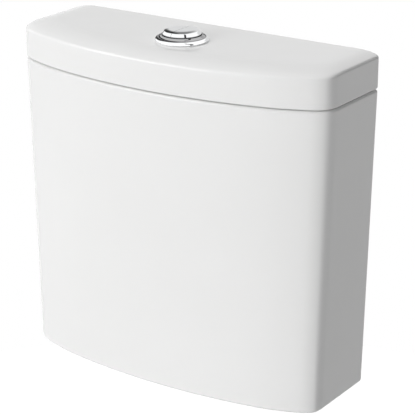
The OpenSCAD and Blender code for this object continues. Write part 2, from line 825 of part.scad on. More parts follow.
module return_spring(side) {
    n = wire_sides;
    color(steel) translate([side*rod_x, rod_y, spring_z]) polyhedron(
        points = [for (i = [0:spring_rings]) for (j = [0:n - 1]) wire_point(i, j)],
        faces = concat(
            [for (j = [1:n - 2]) [0, j + 1, j]],
            [for (j = [1:n - 2]) [spring_rings*n, spring_rings*n + j, spring_rings*n + j + 1]],
            [for (i = [0:spring_rings - 1]) for (j = [0:n - 1])
                [i*n + j, (i + 1)*n + (j + 1)%n, (i + 1)*n + j]],
            [for (i = [0:spring_rings - 1]) for (j = [0:n - 1])
                [i*n + j, i*n + (j + 1)%n, (i + 1)*n + (j + 1)%n]]
        )
    );
}

module full_flush_spring() { return_spring(1); }
module half_flush_spring() { return_spring(-1); }

// Upright post of the cage at an angle round the outlet's axis
module cage_post(angle, z, h) {
    rotate(angle) translate([cage_r - cage_t/2, -post_w/2, z]) cube([cage_t, post_w, h]);
}

module valve_base() {
    color(white_plastic) {
        rotate_extrude() polygon([
            [outlet_r, under_z - tail_l], [tail_r, under_z - tail_l], [tail_r, base_z],
            [flange_r, base_z], [flange_r, flange_top_z], [seat_inner_r + seat_t, flange_top_z],
            [seat_inner_r + seat_t, seat_z], [seat_inner_r, seat_z], [seat_inner_r, base_z],
            [outlet_r, base_z]
        ]);
        for (i = [0:port_legs - 1])
            cage_post(i*360/port_legs, flange_top_z - flange_t/2, flange_t/2 + port_h + ring_h/2);
        ring(cage_outer_r, cage_inner_r, tower_z - ring_h, ring_h);
    }
}

module valve_gasket() {
    color(black_rubber) ring(flange_r, tail_r + tail_gap, floor_z, valve_gasket_t);
}

module valve_backnut() {
    notches = 8;
    color(grey_plastic) difference() {
        ring(backnut_r, tail_r + slip, under_z - backnut_h, backnut_h);
        for (i = [0:notches - 1]) rotate((i + 0.5)*360/notches)
            translate([backnut_r, 0, under_z - backnut_h - cut])
                cylinder(r = backnut_h/4, h = backnut_h + 2*cut);
    }
}

module coupling_gasket() {
    nut_room = backnut_r + slip;
    foot = under_z - coupling_gasket_h;
    step = under_z - backnut_h - slip;
    lip = tail_r + tail_gap;
    chamfer = (coupling_gasket_r - backnut_r)/2;
    color(black_rubber) rotate_extrude() polygon([
        [lip, foot], [coupling_gasket_r - chamfer, foot], [coupling_gasket_r, foot + chamfer],
        [coupling_gasket_r, under_z], [nut_room, under_z], [nut_room, step], [lip, step]
    ]);
}

module pin_ear(side, x) {
    mid = side*(x + ear_t/2);
    rod_along_x(hub_r, mid - ear_t/2, mid + ear_t/2, -pivot_forward, pivot_z);
    translate([mid - ear_t/2, -pivot_forward - hub_r, plate_z - cut])
        cube([ear_t, 2*hub_r, pivot_h + cut]);
}

ear_inner_x = rod_x - pad_w/2 - ear_gap - ear_t;
ear_outer_x = arm_x + arm_w + ear_gap;

module valve_tower() {
    color(white_plastic) difference() {
        union() {
            ring(cage_outer_r, cage_inner_r, tower_z, ring_h);
            ring(cage_outer_r, cage_inner_r - 1.5*rail_r, middle_ring_z, ring_h);
            for (angle = post_angles)
                cage_post(angle, tower_z + ring_h/2, tower_h - ring_h/2 - plate_t/2);
            translate([0, 0, plate_z - plate_t]) cylinder(r = cage_outer_r, h = plate_t);
            translate([0, rail_back, middle_ring_z])
                cylinder(r = rail_r, h = plate_z - plate_t/2 - middle_ring_z);
            for (side = [-1, 1]) for (x = [ear_inner_x, ear_outer_x]) pin_ear(side, x);
        }
        translate([0, 0, plate_z - plate_t - cut]) cylinder(r = tube_r + tube_gap, h = plate_t + 2*cut);
        translate([-arm_mid_x, nose_y, plate_z - plate_t - cut])
            cylinder(r = stem_r + stem_gap, h = plate_t + 2*cut);
        for (side = [-1, 1]) lever_pin(side, slip, cut);
    }
}

module lever_pin(side, grow, overrun) {
    length = ear_outer_x + ear_t - ear_inner_x;
    mid = side*(ear_inner_x + length/2);
    rod_along_x(pin_r + grow, mid - length/2 - overrun, mid + length/2 + overrun, -pivot_forward, pivot_z);
}

module lever_pins() {
    color(steel) for (side = [-1, 1]) lever_pin(side, 0, 0);
}

// Rocker on one side: the pad under the rod, the hub on its pin and the forked lifting arm
module lever(side) {
    hub_from = rod_x - pad_w/2;
    hub_to = arm_x + arm_w;
    pad_l = -pivot_forward - rod_y + pad_reach;
    fork_l = lift_arm/3;
    bar_z = pivot_z + hub_r - lever_t;
    slot_w = arm_w - 2*prong_w;
    mirror([side < 0 ? 1 : 0, 0, 0]) difference() {
        union() {
            rod_along_x(hub_r, hub_from, hub_to, -pivot_forward, pivot_z);
            translate([hub_from, -pivot_forward - pad_l, bar_z]) cube([pad_w, pad_l, lever_t]);
            translate([arm_x, -pivot_forward, bar_z]) cube([arm_w, lift_arm, lever_t]);
            rod_along_x(hub_r, arm_x, hub_to, nose_y, pivot_z);
        }
        rod_along_x(pin_r + pin_gap, hub_from - cut, hub_to + cut, -pivot_forward, pivot_z);
        translate([arm_x + prong_w, nose_y - fork_l, bar_z - lever_t])
            cube([slot_w, fork_l + 2*hub_r, 3*lever_t]);
    }
}

module full_flush_lever() { color(grey_plastic) lever(1); }
module half_flush_lever() { color(blue_plastic) lever(-1); }

// Stem that the half-flush lever lifts; its foot keeps the small float down until then
module half_flush_link() {
    head_back = hub_r;
    head_l = lift_arm/4 + 2*hub_r;
    reach = [arm_mid_x - rail_r - small_float_r/2, rail_back - nose_y];
    color(blue_plastic) translate([-arm_mid_x, nose_y, 0]) {
        translate([-arm_w/2, head_back - head_l, lift_z]) cube([arm_w, head_l, link_t]);
        translate([0, 0, foot_z + link_t/2]) cylinder(r = stem_r, h = lift_z - foot_z);
        translate([0, 0, foot_z]) rotate(atan2(reach[1], reach[0]))
            translate([-2*stem_r, -2*stem_r, 0]) cube([norm(reach) + 2*stem_r, 4*stem_r, link_t]);
    }
}

module flush_float() {
    color(grey_plastic) translate([0, rail_back, 0])
        ring(small_float_r, rail_r + float_gap, small_float_z, small_float_h);
}

module overflow_tube() {
    color(white_plastic) rotate_extrude() polygon([
        [tube_r - tube_t, tube_foot_z], [tube_r, tube_foot_z], [tube_r, seat_z + seal_t],
        [plug_r, seat_z + seal_t], [plug_r, seat_z + seal_t + plug_t/2],
        [tube_r + plug_t, seat_z + seal_t + plug_t], [tube_r, seat_z + seal_t + 2*plug_t],
        [tube_r, tube_top_z], [tube_r - tube_t, tube_top_z]
    ]);
}

module tube_collar() {
    tab_l = 2*hub_r + lift_arm/4;
    color(grey_plastic) difference() {
        union() {
            translate([0, 0, lift_z]) cylinder(r = tube_r + collar_t, h = collar_h);
            translate([0, nose_y + hub_r - tab_l, lift_z]) cube([arm_x + arm_w, tab_l, collar_h/2]);
        }
        translate([0, 0, lift_z - cut]) cylinder(r = tube_r + slip, h = collar_h + 2*cut);
    }
}

module flush_seal() {
    color(soft_clear) ring(plug_r - slip, tube_r + slip, seat_z, seal_t);
}

module seal_retainer() {
    color(grey_plastic) ring(retainer_r, tube_r + slip, seat_z - retainer_t, retainer_t);
}

module inlet_shank() {
    stop_t = cup_t;
    neck_r = inlet_r - relief_d;
    color(white_plastic) at_fill() rotate_extrude() polygon([
        [inlet_bore_r, inlet_end_z], [inlet_r, inlet_end_z], [inlet_r, relief_z], [neck_r, relief_z],
        [neck_r, relief_z + relief_w], [inlet_r, relief_z + relief_w], [inlet_r, inlet_z],
        [inlet_flange_r, inlet_z], [inlet_flange_r, inlet_z + inlet_flange_t],
        [riser_r, inlet_z + inlet_flange_t], [riser_r, cup_z - stop_t - cup_gap],
        [riser_r + cup_gap + cup_t, cup_z - cup_gap], [riser_r, cup_z - cup_gap],
        [riser_r, riser_top_z], [inlet_bore_r, riser_top_z]
    ]);
}

module inlet_washer() {
    bore = inlet_r + slip;
    color(black_rubber) at_fill() rotate_extrude() polygon([
        [bore, floor_z], [inlet_flange_r + washer_flare, floor_z],
        [inlet_flange_r, inlet_z], [bore, inlet_z]
    ]);
}

module inlet_locknut() {
    color(white_plastic) at_fill() difference() {
        translate([0, 0, under_z - locknut_h]) cylinder(r = locknut_r, h = locknut_h, $fn = 6);
        translate([0, 0, under_z - locknut_h - cut]) cylinder(r = inlet_r + slip, h = locknut_h + 2*cut);
    }
}

module inlet_strainer() {
    r = inlet_bore_r - slip;
    color(grey_plastic) at_fill() translate([0, 0, inlet_end_z]) difference() {
        cylinder(r = r, h = strainer_l);
        translate([0, 0, -cut]) cylinder(r = r - strainer_t, h = strainer_l - strainer_t + cut);
    }
}

module fill_head() {
    socket_r = riser_r + slip;
    stub_r = pipe_r - pipe_t - slip;
    color(white_plastic) at_fill() {
        rotate_extrude() polygon([
            [socket_r, riser_top_z - head_socket], [head_r - head_taper, riser_top_z - head_socket],
            [head_r, riser_top_z], [head_r, cap_z], [0, cap_z], [0, riser_top_z], [socket_r, riser_top_z]
        ]);
        translate([0, 0, pipe_stub_z]) rotate([0, 90, pipe_turn])
            cylinder(r = stub_r, h = pipe_d - pipe_r);
    }
}

module fill_cap() {
    ear_x = float_arm_w/2 + ear_gap/2;
    color(blue_plastic) at_fill() difference() {
        union() {
            rotate_extrude() polygon([
                [0, cap_z], [cap_r, cap_z], [cap_r, cap_top_z - cap_t/4],
                [cap_r - cap_t/4, cap_top_z], [0, cap_top_z]
            ]);
            for (side = [-1, 1]) {
                mid = side*(ear_x + ear_t/2);
                rod_along_x(arm_ear_r, mid - ear_t/2, mid + ear_t/2, arm_pin_back, arm_pin_z);
                translate([mid - ear_t/2, arm_pin_back - arm_ear_r, cap_top_z - cut])
                    cube([ear_t, 2*arm_ear_r, arm_pin_z - cap_top_z + cut]);
            }
        }
        rod_along_x(pin_r + slip, -cap_r, cap_r, arm_pin_back, arm_pin_z);
    }
}

module arm_pin() {
    half = float_arm_w/2 + ear_gap/2 + ear_t;
    color(steel) at_fill() rod_along_x(pin_r, -half, half, arm_pin_back, arm_pin_z);
}

module float_arm() {
    slot_w = 2*link_r + 4*cup_gap;
    tip_l = arm_slot_l + 2*link_r;
    color(grey_plastic) at_fill() difference() {
        union() {
            rod_along_x(arm_t/2, -float_arm_w/2, float_arm_w/2, arm_pin_back, arm_pin_z);
            translate([-float_arm_w/2, -link_forward, arm_pin_z - arm_t/2])
                cube([float_arm_w, link_forward + arm_pin_back, arm_t]);
            translate([-arm_tip_w/2, -link_forward - tip_l/2, arm_pin_z - arm_t/2])
                cube([arm_tip_w, tip_l, arm_t]);
        }
        rod_along_x(pin_r + pin_gap, -cap_r, cap_r, arm_pin_back, arm_pin_z);
        translate([-slot_w/2, -link_forward - arm_slot_l/2, arm_pin_z - arm_t])
            cube([slot_w, arm_slot_l, 2*arm_t]);
    }
}

module float_cup() {
    sleeve_r = riser_r + cup_gap;
    top = cup_z + cup_h;
    color(blue_plastic) at_fill() difference() {
        union() {
            rotate_extrude() polygon([
                [sleeve_r, cup_z], [sleeve_r + cup_t, cup_z], [sleeve_r + cup_t, top - cup_t],
                [cup_r - cup_t, top - cup_t], [cup_r - cup_t, cup_z], [cup_r, cup_z],
                [cup_r, top - cup_t], [cup_r - cup_t, top], [sleeve_r, top]
            ]);
            translate([0, -link_forward, top - cup_t/2])
                cylinder(r = link_r + cup_t, h = cup_boss_h + cup_t/2);
        }
        translate([0, -link_forward, top]) cylinder(r = link_r + slip, h = cup_boss_h + cut);
    }
}

link_grip_z = arm_pin_z - arm_t/2 - collar_play;
thumb_z = arm_pin_z + arm_t/2 + thumb_play;

module float_link() {
    top = cup_z + cup_h;
    color(brass) at_fill() translate([0, -link_forward, 0]) {
        translate([0, 0, top]) cylinder(r = link_r, h = thumb_z + 2*thumb_h - top);
        translate([0, 0, link_grip_z - link_collar_t]) cylinder(r = link_collar_r, h = link_collar_t);
    }
}

module thumb_nut() {
    flutes = 10;
    flute_r = thumb_r/5;
    color(white_plastic) at_fill() translate([0, -link_forward, 0]) difference() {
        ring(thumb_r, link_r + slip, thumb_z, thumb_h);
        for (i = [0:flutes - 1]) rotate(i*360/flutes)
            translate([thumb_r + flute_r/3, 0, thumb_z - cut]) cylinder(r = flute_r, h = thumb_h + 2*cut);
    }
}

module refill_pipe() {
    end_z = floor_z + pipe_end_h;
    bore = pipe_r - pipe_t;
    socket_l = pipe_d - head_r - 2*pipe_t;
    color(white_plastic) at_fill() rotate(pipe_turn) difference() {
        union() {
            translate([pipe_d, 0, end_z]) cylinder(r = pipe_r, h = pipe_stub_z - end_z);
            translate([pipe_d, 0, pipe_stub_z]) sphere(r = pipe_r);
            translate([pipe_d - socket_l, 0, pipe_stub_z]) rotate([0, 90, 0])
                cylinder(r = pipe_r, h = socket_l);
        }
        translate([pipe_d, 0, end_z - cut]) cylinder(r = bore, h = pipe_stub_z - end_z + cut);
        translate([pipe_d - socket_l - cut, 0, pipe_stub_z]) rotate([0, 90, 0])
            cylinder(r = bore, h = socket_l + cut);
    }
}

module coupling_bolts() {
    neck = bolt_r - relief_d/2;
    stud_z = under_z - stud_l;
    top = bolt_head_z + bolt_head_h;
    slope = bolt_head_h/2;
    color(brass) at_bolts() rotate_extrude() polygon([
        [0, stud_z], [bolt_r, stud_z], [bolt_r, hex_z - relief_w], [neck, hex_z - relief_w],
        [neck, hex_z], [bolt_r, hex_z], [bolt_r, bolt_head_z], [bolt_head_r, bolt_head_z],
        [bolt_head_r, top - slope], [bolt_head_r - slope, top], [0, top]
    ]);
}

module bolt_seals() {
    bore = bolt_r + washer_gap;
    color(black_rubber) at_bolts() rotate_extrude() polygon([
        [bore, floor_z], [bolt_seal_r, floor_z], [bolt_seal_r, floor_z + bolt_seal_t/2],
        [washer_r, head_washer_z], [bore, head_washer_z]
    ]);
}

module bolt_head_washers() {
    color(steel) at_bolts() ring(washer_r, bolt_r + washer_gap, head_washer_z, washer_t);
}

module bolt_clamp_washers() {
    color(steel) at_bolts() ring(washer_r, bolt_r + washer_gap, clamp_washer_z, washer_t);
}

module bolt_nuts() {
    color(brass) at_bolts() difference() {
        translate([0, 0, hex_z]) cylinder(r = hex_r, h = hex_h, $fn = 6);
        translate([0, 0, hex_z - cut]) cylinder(r = bolt_r + slip, h = hex_h + 2*cut);
    }
}

tank();
lid_pads();
lid();
button_bezel();
bezel_gasket();
bezel_nut();
full_flush_button();
half_flush_button();
full_flush_rod();
half_flush_rod();
full_flush_spring();
half_flush_spring();
valve_base();
valve_gasket();
valve_backnut();
coupling_gasket();
valve_tower();
lever_pins();
full_flush_lever();
half_flush_lever();
half_flush_link();
flush_float();
overflow_tube();
tube_collar();
flush_seal();
seal_retainer();
inlet_shank();
inlet_washer();
inlet_locknut();
inlet_strainer();
fill_head();
fill_cap();
arm_pin();
float_arm();
float_cup();
float_link();
thumb_nut();
refill_pipe();
coupling_bolts();
bolt_seals();
bolt_head_washers();
bolt_clamp_washers();
bolt_nuts();
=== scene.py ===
# Looks of a close-coupled toilet cistern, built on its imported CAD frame.
# Mesh lengths are millimetres and angles degrees. Lengths in shaders and on the stage are metres.
import json
import math

import bmesh
import bpy
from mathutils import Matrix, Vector


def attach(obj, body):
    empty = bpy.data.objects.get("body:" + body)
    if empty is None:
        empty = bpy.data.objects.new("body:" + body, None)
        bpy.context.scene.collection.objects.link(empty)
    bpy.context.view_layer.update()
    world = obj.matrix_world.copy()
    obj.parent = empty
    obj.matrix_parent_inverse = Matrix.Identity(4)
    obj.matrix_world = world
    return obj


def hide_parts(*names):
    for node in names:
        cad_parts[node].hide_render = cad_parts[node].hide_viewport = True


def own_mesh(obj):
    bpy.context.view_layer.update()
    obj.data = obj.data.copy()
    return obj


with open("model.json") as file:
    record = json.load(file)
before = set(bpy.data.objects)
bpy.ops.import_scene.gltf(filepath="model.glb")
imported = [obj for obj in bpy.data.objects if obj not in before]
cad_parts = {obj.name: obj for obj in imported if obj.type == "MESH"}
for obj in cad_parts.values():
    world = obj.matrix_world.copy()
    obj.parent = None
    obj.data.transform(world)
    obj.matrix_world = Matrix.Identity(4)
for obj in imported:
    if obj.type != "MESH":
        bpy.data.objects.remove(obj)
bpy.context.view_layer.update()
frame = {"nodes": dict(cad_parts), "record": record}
nodes = frame["nodes"]
MM = 0.001

# Sizes shared with the CAD source
BACK_Y = 56.0
TANK_H = 326.0
FOOT_H = 14.0
FLOOR_Z = 26.0
WALL_T = 11.0
LID_Z = 327.0
LID_TOP = 365.0
LID_UNDER = 353.0
BUTTON_Y = -19.0
FILL_X = -118.0
BOLT_X = 75.0
ROD_X, ROD_Y = 10.0, -30.0
BARREL_FLOOR_Z, BARREL_FOOT_Z, BUTTON_FOOT_Z = 343.0, 340.0, 361.0


# Node materials

# Noise values from which a tone starts to change and at which it has changed
NOISE_BAND = (0.3, 0.7)
# Sockets of the colour mix node, several of which share a name
MIX_FACTOR, MIX_A, MIX_B, MIX_RESULT = 0, 6, 7, 2


def shader(name, color, roughness, metallic=0.0):
    """A material with its Principled shader; constants sit on the shader's own sockets."""
    mat = bpy.data.materials.new(name)
    mat.use_nodes = True
    mat.diffuse_color = (*color, 1.0)
    bsdf = mat.node_tree.nodes["Principled BSDF"]
    bsdf.inputs["Base Color"].default_value = (*color, 1.0)
    bsdf.inputs["Roughness"].default_value = roughness
    bsdf.inputs["Metallic"].default_value = metallic
    return mat, mat.node_tree, bsdf


def place(tree, stretch=(1.0, 1.0, 1.0)):
    """Object coordinates in metres, stretched per axis."""
    coord = tree.nodes.new("ShaderNodeTexCoord")
    mapping = tree.nodes.new("ShaderNodeMapping")
    mapping.inputs["Scale"].default_value = stretch
    tree.links.new(coord.outputs["Object"], mapping.inputs["Vector"])
    return mapping.outputs["Vector"]


def split(tree, vector):
    """The X, Y and Z of a vector."""
    node = tree.nodes.new("ShaderNodeSeparateXYZ")
    tree.links.new(vector, node.inputs["Vector"])
    return node.outputs


def noise(tree, vector, scale, detail=3.0, rough=0.5):
    node = tree.nodes.new("ShaderNodeTexNoise")
    node.inputs["Scale"].default_value = scale
    node.inputs["Detail"].default_value = detail
    node.inputs["Roughness"].default_value = rough
    tree.links.new(vector, node.inputs["Vector"])
    return node.outputs["Fac"]


def spread(tree, value, band, to=(0.0, 1.0)):
    """value mapped smoothly from the two ends of band to the two ends of to."""
    node = tree.nodes.new("ShaderNodeMapRange")
    node.interpolation_type = "SMOOTHSTEP"
    for socket, number in zip(("From Min", "From Max", "To Min", "To Max"), (*band, *to)):
        node.inputs[socket].default_value = number
    tree.links.new(value, node.inputs["Value"])
    return node.outputs["Result"]


def math_node(tree, operation, *values):
    node = tree.nodes.new("ShaderNodeMath")
    node.operation = operation
    for i, v in enumerate(values):
        if isinstance(v, (int, float)):
            node.inputs[i].default_value = v
        else:
            tree.links.new(v, node.inputs[i])
    return node.outputs[0]


def within(tree, value, opening, closing):
    """1 between two soft ends, 0 outside."""
    opened, closed = spread(tree, value, opening), spread(tree, value, closing, (1.0, 0.0))
    return math_node(tree, "MULTIPLY", opened, closed)


def ramp(tree, value, dark, light, band=NOISE_BAND):
    """A colour between two tones."""
    node = tree.nodes.new("ShaderNodeValToRGB")
    for stop, position, color in zip(node.color_ramp.elements, band, (dark, light)):
        stop.position = position
        stop.color = (*color, 1.0)
    tree.links.new(value, node.inputs["Fac"])
    return node.outputs["Color"]


def mix_color(tree, factor, a, b):
    node = tree.nodes.new("ShaderNodeMix")
    node.data_type = "RGBA"
    tree.links.new(factor, node.inputs[MIX_FACTOR])
    for socket, v in ((node.inputs[MIX_A], a), (node.inputs[MIX_B], b)):
        if isinstance(v, tuple):
            socket.default_value = (*v, 1.0)
        else:
            tree.links.new(v, socket)
    return node.outputs[MIX_RESULT]


def bump(tree, bsdf, height, strength, distance):
    node = tree.nodes.new("ShaderNodeBump")
    node.inputs["Strength"].default_value = strength
    node.inputs["Distance"].default_value = distance
    tree.links.new(height, node.inputs["Height"])
    tree.links.new(node.outputs["Normal"], bsdf.inputs["Normal"])


def tinted(tree, bsdf, vector, scale, dark, light):
    """Base colour that drifts between two close tones."""
    tone = ramp(tree, noise(tree, vector, scale, detail=4.0), dark, light)
    tree.links.new(tone, bsdf.inputs["Base Color"])


def glaze_material():
    """White glaze. The fired foot rim and the underside stay bare and a little darker."""
    rim_top, rim_wander = (0.0006, 0.0014), (-0.0004, 0.0004)
    bare_roughness, flow_part, grain_part = 0.55, 0.9, 0.2
    mat, tree, bsdf = shader("glaze", color=(0.84, 0.84, 0.835), roughness=0.14)
    vector = place(tree)
    tone = ramp(tree, noise(tree, vector, scale=7.0), dark=(0.832, 0.832, 0.828),
                light=(0.848, 0.848, 0.845))
    wander = spread(tree, noise(tree, vector, scale=90.0), NOISE_BAND, rim_wander)
    level = math_node(tree, "ADD", split(tree, vector)["Z"], wander)
    bare = spread(tree, level, rim_top, (1.0, 0.0))
    clay = ramp(tree, noise(tree, vector, scale=900.0, detail=5.0), dark=(0.60, 0.585, 0.55),
                light=(0.72, 0.705, 0.67), band=(0.35, 0.65))
    tree.links.new(mix_color(tree, bare, tone, clay), bsdf.inputs["Base Color"])
    gloss = spread(tree, noise(tree, vector, scale=30.0), NOISE_BAND, (0.12, 0.17))
    gloss = math_node(tree, "ADD", gloss, math_node(tree, "MULTIPLY", bare, bare_roughness))
    tree.links.new(gloss, bsdf.inputs["Roughness"])
    flow = math_node(tree, "MULTIPLY", noise(tree, vector, scale=22.0, detail=1.0), flow_part)
    grain = math_node(tree, "MULTIPLY", noise(tree, vector, scale=1400.0, detail=2.0), bare)
    relief = math_node(tree, "ADD", flow, math_node(tree, "MULTIPLY", grain, grain_part))
    bump(tree, bsdf, relief, strength=0.06, distance=0.0012)
    return mat


def chrome_material():
    """Polished chrome, with a painted grey reflection and painted shade in rings round the buttons, by the
    distance from their axis.
    """
    # Tones of the painted reflection on the cove, the painted shade on the crease and the painted shade in
    # the groove
    cove_painted_reflection_tone, crease_painted_shade_tone, groove_painted_shade_tone = (0.44, 0.44, 0.445), (0.30, 0.30, 0.305), (0.16, 0.16, 0.165)
    mat, tree, bsdf = shader("chrome", color=(0.93, 0.94, 0.95), roughness=0.0, metallic=1.0)
    vector = place(tree)
    tone = ramp(tree, noise(tree, vector, scale=60.0, detail=4.0), dark=(0.90, 0.91, 0.92),
                light=(0.95, 0.955, 0.96))
    x, y, z = split(tree, vector)
    ahead = math_node(tree, "SUBTRACT", y, BUTTON_Y*MM)
    squares = [math_node(tree, "MULTIPLY", v, v) for v in (x, ahead)]
    out = math_node(tree, "SQRT", math_node(tree, "ADD", *squares))
    # Painted grey reflection on the cove between collar and bead, painted shade on the crease at its foot,
    # and painted shade in the groove between buttons and collar
    cove = within(tree, out, opening=(0.0208, 0.0212), closing=(0.0241, 0.0247))
    crease_painted_shade = within(tree, out, opening=(0.0236, 0.0242), closing=(0.0247, 0.0255))
    groove = within(tree, out, opening=(0.0200, 0.0202), closing=(0.0208, 0.0211))
    # The painted shade in the groove shows only above these heights
    groove_painted_shade_foot = (0.3698, 0.3704)
    groove = math_node(tree, "MULTIPLY", groove, spread(tree, z, groove_painted_shade_foot))
    # Each ring of painted reflection or painted shade is mixed into the chrome's colour
    for lime_film_and_painted_light, lime_film_and_painted_light_tone in ((cove, cove_painted_reflection_tone), (crease_painted_shade, crease_painted_shade_tone), (groove, groove_painted_shade_tone)):
        tone = mix_color(tree, lime_film_and_painted_light, tone, lime_film_and_painted_light_tone)
    tree.links.new(tone, bsdf.inputs["Base Color"])
    bump(tree, bsdf, noise(tree, vector, scale=70.0, detail=1.0), strength=0.02, distance=0.0004)
    return mat


def steel_material():
    """Drawn steel: streaks that run along Z."""
    mat, tree, bsdf = shader("steel", color=(0.60, 0.61, 0.62), roughness=0.26, metallic=1.0)
    vector = place(tree, stretch=(900.0, 900.0, 40.0))
    tinted(tree, bsdf, vector, scale=1.0, dark=(0.52, 0.53, 0.54), light=(0.66, 0.67, 0.68))
    streaks = noise(tree, vector, scale=1.0)
    tree.links.new(spread(tree, streaks, (0.25, 0.75), (0.2, 0.36)), bsdf.inputs["Roughness"])
    bump(tree, bsdf, streaks, strength=0.12, distance=0.0002)
    return mat


def brass_material():
    """Brass with darker, rougher tarnish in patches."""
    tarnish_band, tarnish_most, tarnish_tone = (0.52, 0.72), 0.7, (0.30, 0.20, 0.09)
    clean_roughness, tarnish_roughness = 0.24, 0.25
    mat, tree, bsdf = shader("brass", color=(0.60, 0.42, 0.15), roughness=0.28, metallic=1.0)
    vector = place(tree)
    bright = ramp(tree, noise(tree, vector, scale=160.0, detail=5.0), dark=(0.56, 0.38, 0.13),
                  light=(0.66, 0.48, 0.19))
    patches = noise(tree, vector, scale=45.0, detail=6.0, rough=0.65)
    tarnish = spread(tree, patches, tarnish_band, (0.0, tarnish_most))
    tree.links.new(mix_color(tree, tarnish, bright, tarnish_tone), bsdf.inputs["Base Color"])
    rougher = math_node(tree, "MULTIPLY", tarnish, tarnish_roughness)
    tree.links.new(math_node(tree, "ADD", rougher, clean_roughness), bsdf.inputs["Roughness"])
    bump(tree, bsdf, noise(tree, vector, scale=1800.0), strength=0.1, distance=0.0002)
    return mat


def plastic_material(name, color, shift, roughness):
    """Moulded plastic: slow tone drift, thin lime film in patches, fine grain and uneven gloss."""
    film_band, film_most, film_keep, film_white = (0.56, 0.8), 0.3, 0.6, 0.2
    smoother, rougher = 0.06, 0.08
    mat, tree, bsdf = shader(name, color, roughness)
    vector = place(tree)
    dark = tuple(c*(1 - shift) for c in color)
    light = tuple(min(1.0, c*(1 + shift)) for c in color)
    drift = ramp(tree, noise(tree, vector, scale=28.0, detail=5.0), dark, light)
    patches = noise(tree, place(tree, stretch=(1.0, 1.0, 0.4)), scale=75.0, detail=6.0, rough=0.6)
    lime_film_and_painted_light = spread(tree, patches, film_band, (0.0, film_most))
    lime_film_and_painted_light_tone = tuple(film_keep*c + film_white for c in color)
    tree.links.new(mix_color(tree, lime_film_and_painted_light, drift, lime_film_and_painted_light_tone), bsdf.inputs["Base Color"])
    gloss = spread(tree, noise(tree, vector, scale=110.0), NOISE_BAND,
                   (roughness - smoother, roughness + rougher))
    tree.links.new(gloss, bsdf.inputs["Roughness"])
    bsdf.inputs["IOR"].default_value = 1.47
    bump(tree, bsdf, noise(tree, vector, scale=1500.0), strength=0.12, distance=0.0002)
    return mat


def rubber_material():
    """Black rubber with a pale bloom in patches."""
    bloom_band, bloom_most, bloom_tone = (0.5, 0.78), 0.35, (0.10, 0.10, 0.10)
    mat, tree, bsdf = shader("black_rubber", color=(0.022, 0.022, 0.023), roughness=0.62)
    vector = place(tree)
    body = ramp(tree, noise(tree, vector, scale=240.0, detail=5.0), dark=(0.016, 0.016, 0.017),
                light=(0.030, 0.030, 0.031))
    patches = noise(tree, vector, scale=55.0, detail=6.0, rough=0.62)
    bloom = spread(tree, patches, bloom_band, (0.0, bloom_most))
    tree.links.new(mix_color(tree, bloom, body, bloom_tone), bsdf.inputs["Base Color"])
    gloss = spread(tree, noise(tree, vector, scale=180.0), NOISE_BAND, (0.52, 0.74))
    tree.links.new(gloss, bsdf.inputs["Roughness"])
    bump(tree, bsdf, noise(tree, vector, scale=1300.0, detail=4.0), strength=0.3, distance=0.0004)
    return mat


def silicone_material():
    """Milky silicone that lets a little light through."""
    mat, tree, bsdf = shader("soft_clear", color=(0.66, 0.66, 0.63), roughness=0.36)
    vector = place(tree)
    tinted(tree, bsdf, vector, scale=130.0, dark=(0.60, 0.60, 0.565), light=(0.70, 0.70, 0.675))
    gloss = spread(tree, noise(tree, vector, scale=260.0), NOISE_BAND, (0.3, 0.46))
    tree.links.new(gloss, bsdf.inputs["Roughness"])
    bsdf.inputs["Transmission Weight"].default_value = 0.25
    bsdf.inputs["IOR"].default_value = 1.41
    bump(tree, bsdf, noise(tree, vector, scale=900.0), strength=0.15, distance=0.0003)
    return mat


looks = {
    "glaze": glaze_material(),
    "chrome": chrome_material(),
    "steel": steel_material(),
    "brass": brass_material(),
    "white_plastic": plastic_material("white_plastic", (0.74, 0.75, 0.74), shift=0.03, roughness=0.36),
    "grey_plastic": plastic_material("grey_plastic", (0.26, 0.30, 0.33), shift=0.07, roughness=0.42),
    "blue_plastic": plastic_material("blue_plastic", (0.045, 0.16, 0.36), shift=0.08, roughness=0.4),
    "soft_clear": silicone_material(),
    "black_rubber": rubber_material(),
}


# Mesh helpers

# Points closer than this are one point, in metres
SAME_POINT = 1e-7
# Angles above which an edge stays sharp
CERAMIC_SHARP, TURNED_SHARP, WIRE_SHARP = 40.0, 30.0, 35.0
NORMAL_WEIGHT = 80
UP, DOWN, BACKWARD, FORWARD = (0, 0, 1), (0, 0, -1), (0, 1, 0), (0, -1, 0)


def piece(name, bm, slot, body, node, sharp=TURNED_SHARP, weighted=False):
    """A finished mesh that stands for a CAD node and rides on its body."""
    bmesh.ops.remove_doubles(bm, verts=bm.verts, dist=SAME_POINT)
    bmesh.ops.recalc_face_normals(bm, faces=bm.faces)
    mesh = bpy.data.meshes.new(name)
    bm.to_mesh(mesh)
    bm.free()
    mesh.polygons.foreach_set("use_smooth", [True]*len(mesh.polygons))
    mesh.set_sharp_from_angle(angle=math.radians(sharp))
    mesh.materials.append(looks[slot])
    obj = bpy.data.objects.new(name, mesh)
    bpy.context.scene.collection.objects.link(obj)
    if weighted:
        mod = obj.modifiers.new("even_normals", "WEIGHTED_NORMAL")
        mod.keep_sharp = True
        mod.weight = NORMAL_WEIGHT
    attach(obj, body)
    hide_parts(node)
    return obj


def ring_at(bm, points, z):
    return [bm.verts.new((x*MM, y*MM, z*MM)) for x, y in points]


def bridge(bm, a, b, skip=()):
    """Faces between two rings of as many points."""
    n = len(a)
    for i in range(n):
        if i not in skip:
            j = (i + 1) % n
            bm.faces.new((a[i], a[j], b[j], b[i]))


def chain_up(bm, rings):
    for a, b in zip(rings, rings[1:]):
        bridge(bm, a, b)


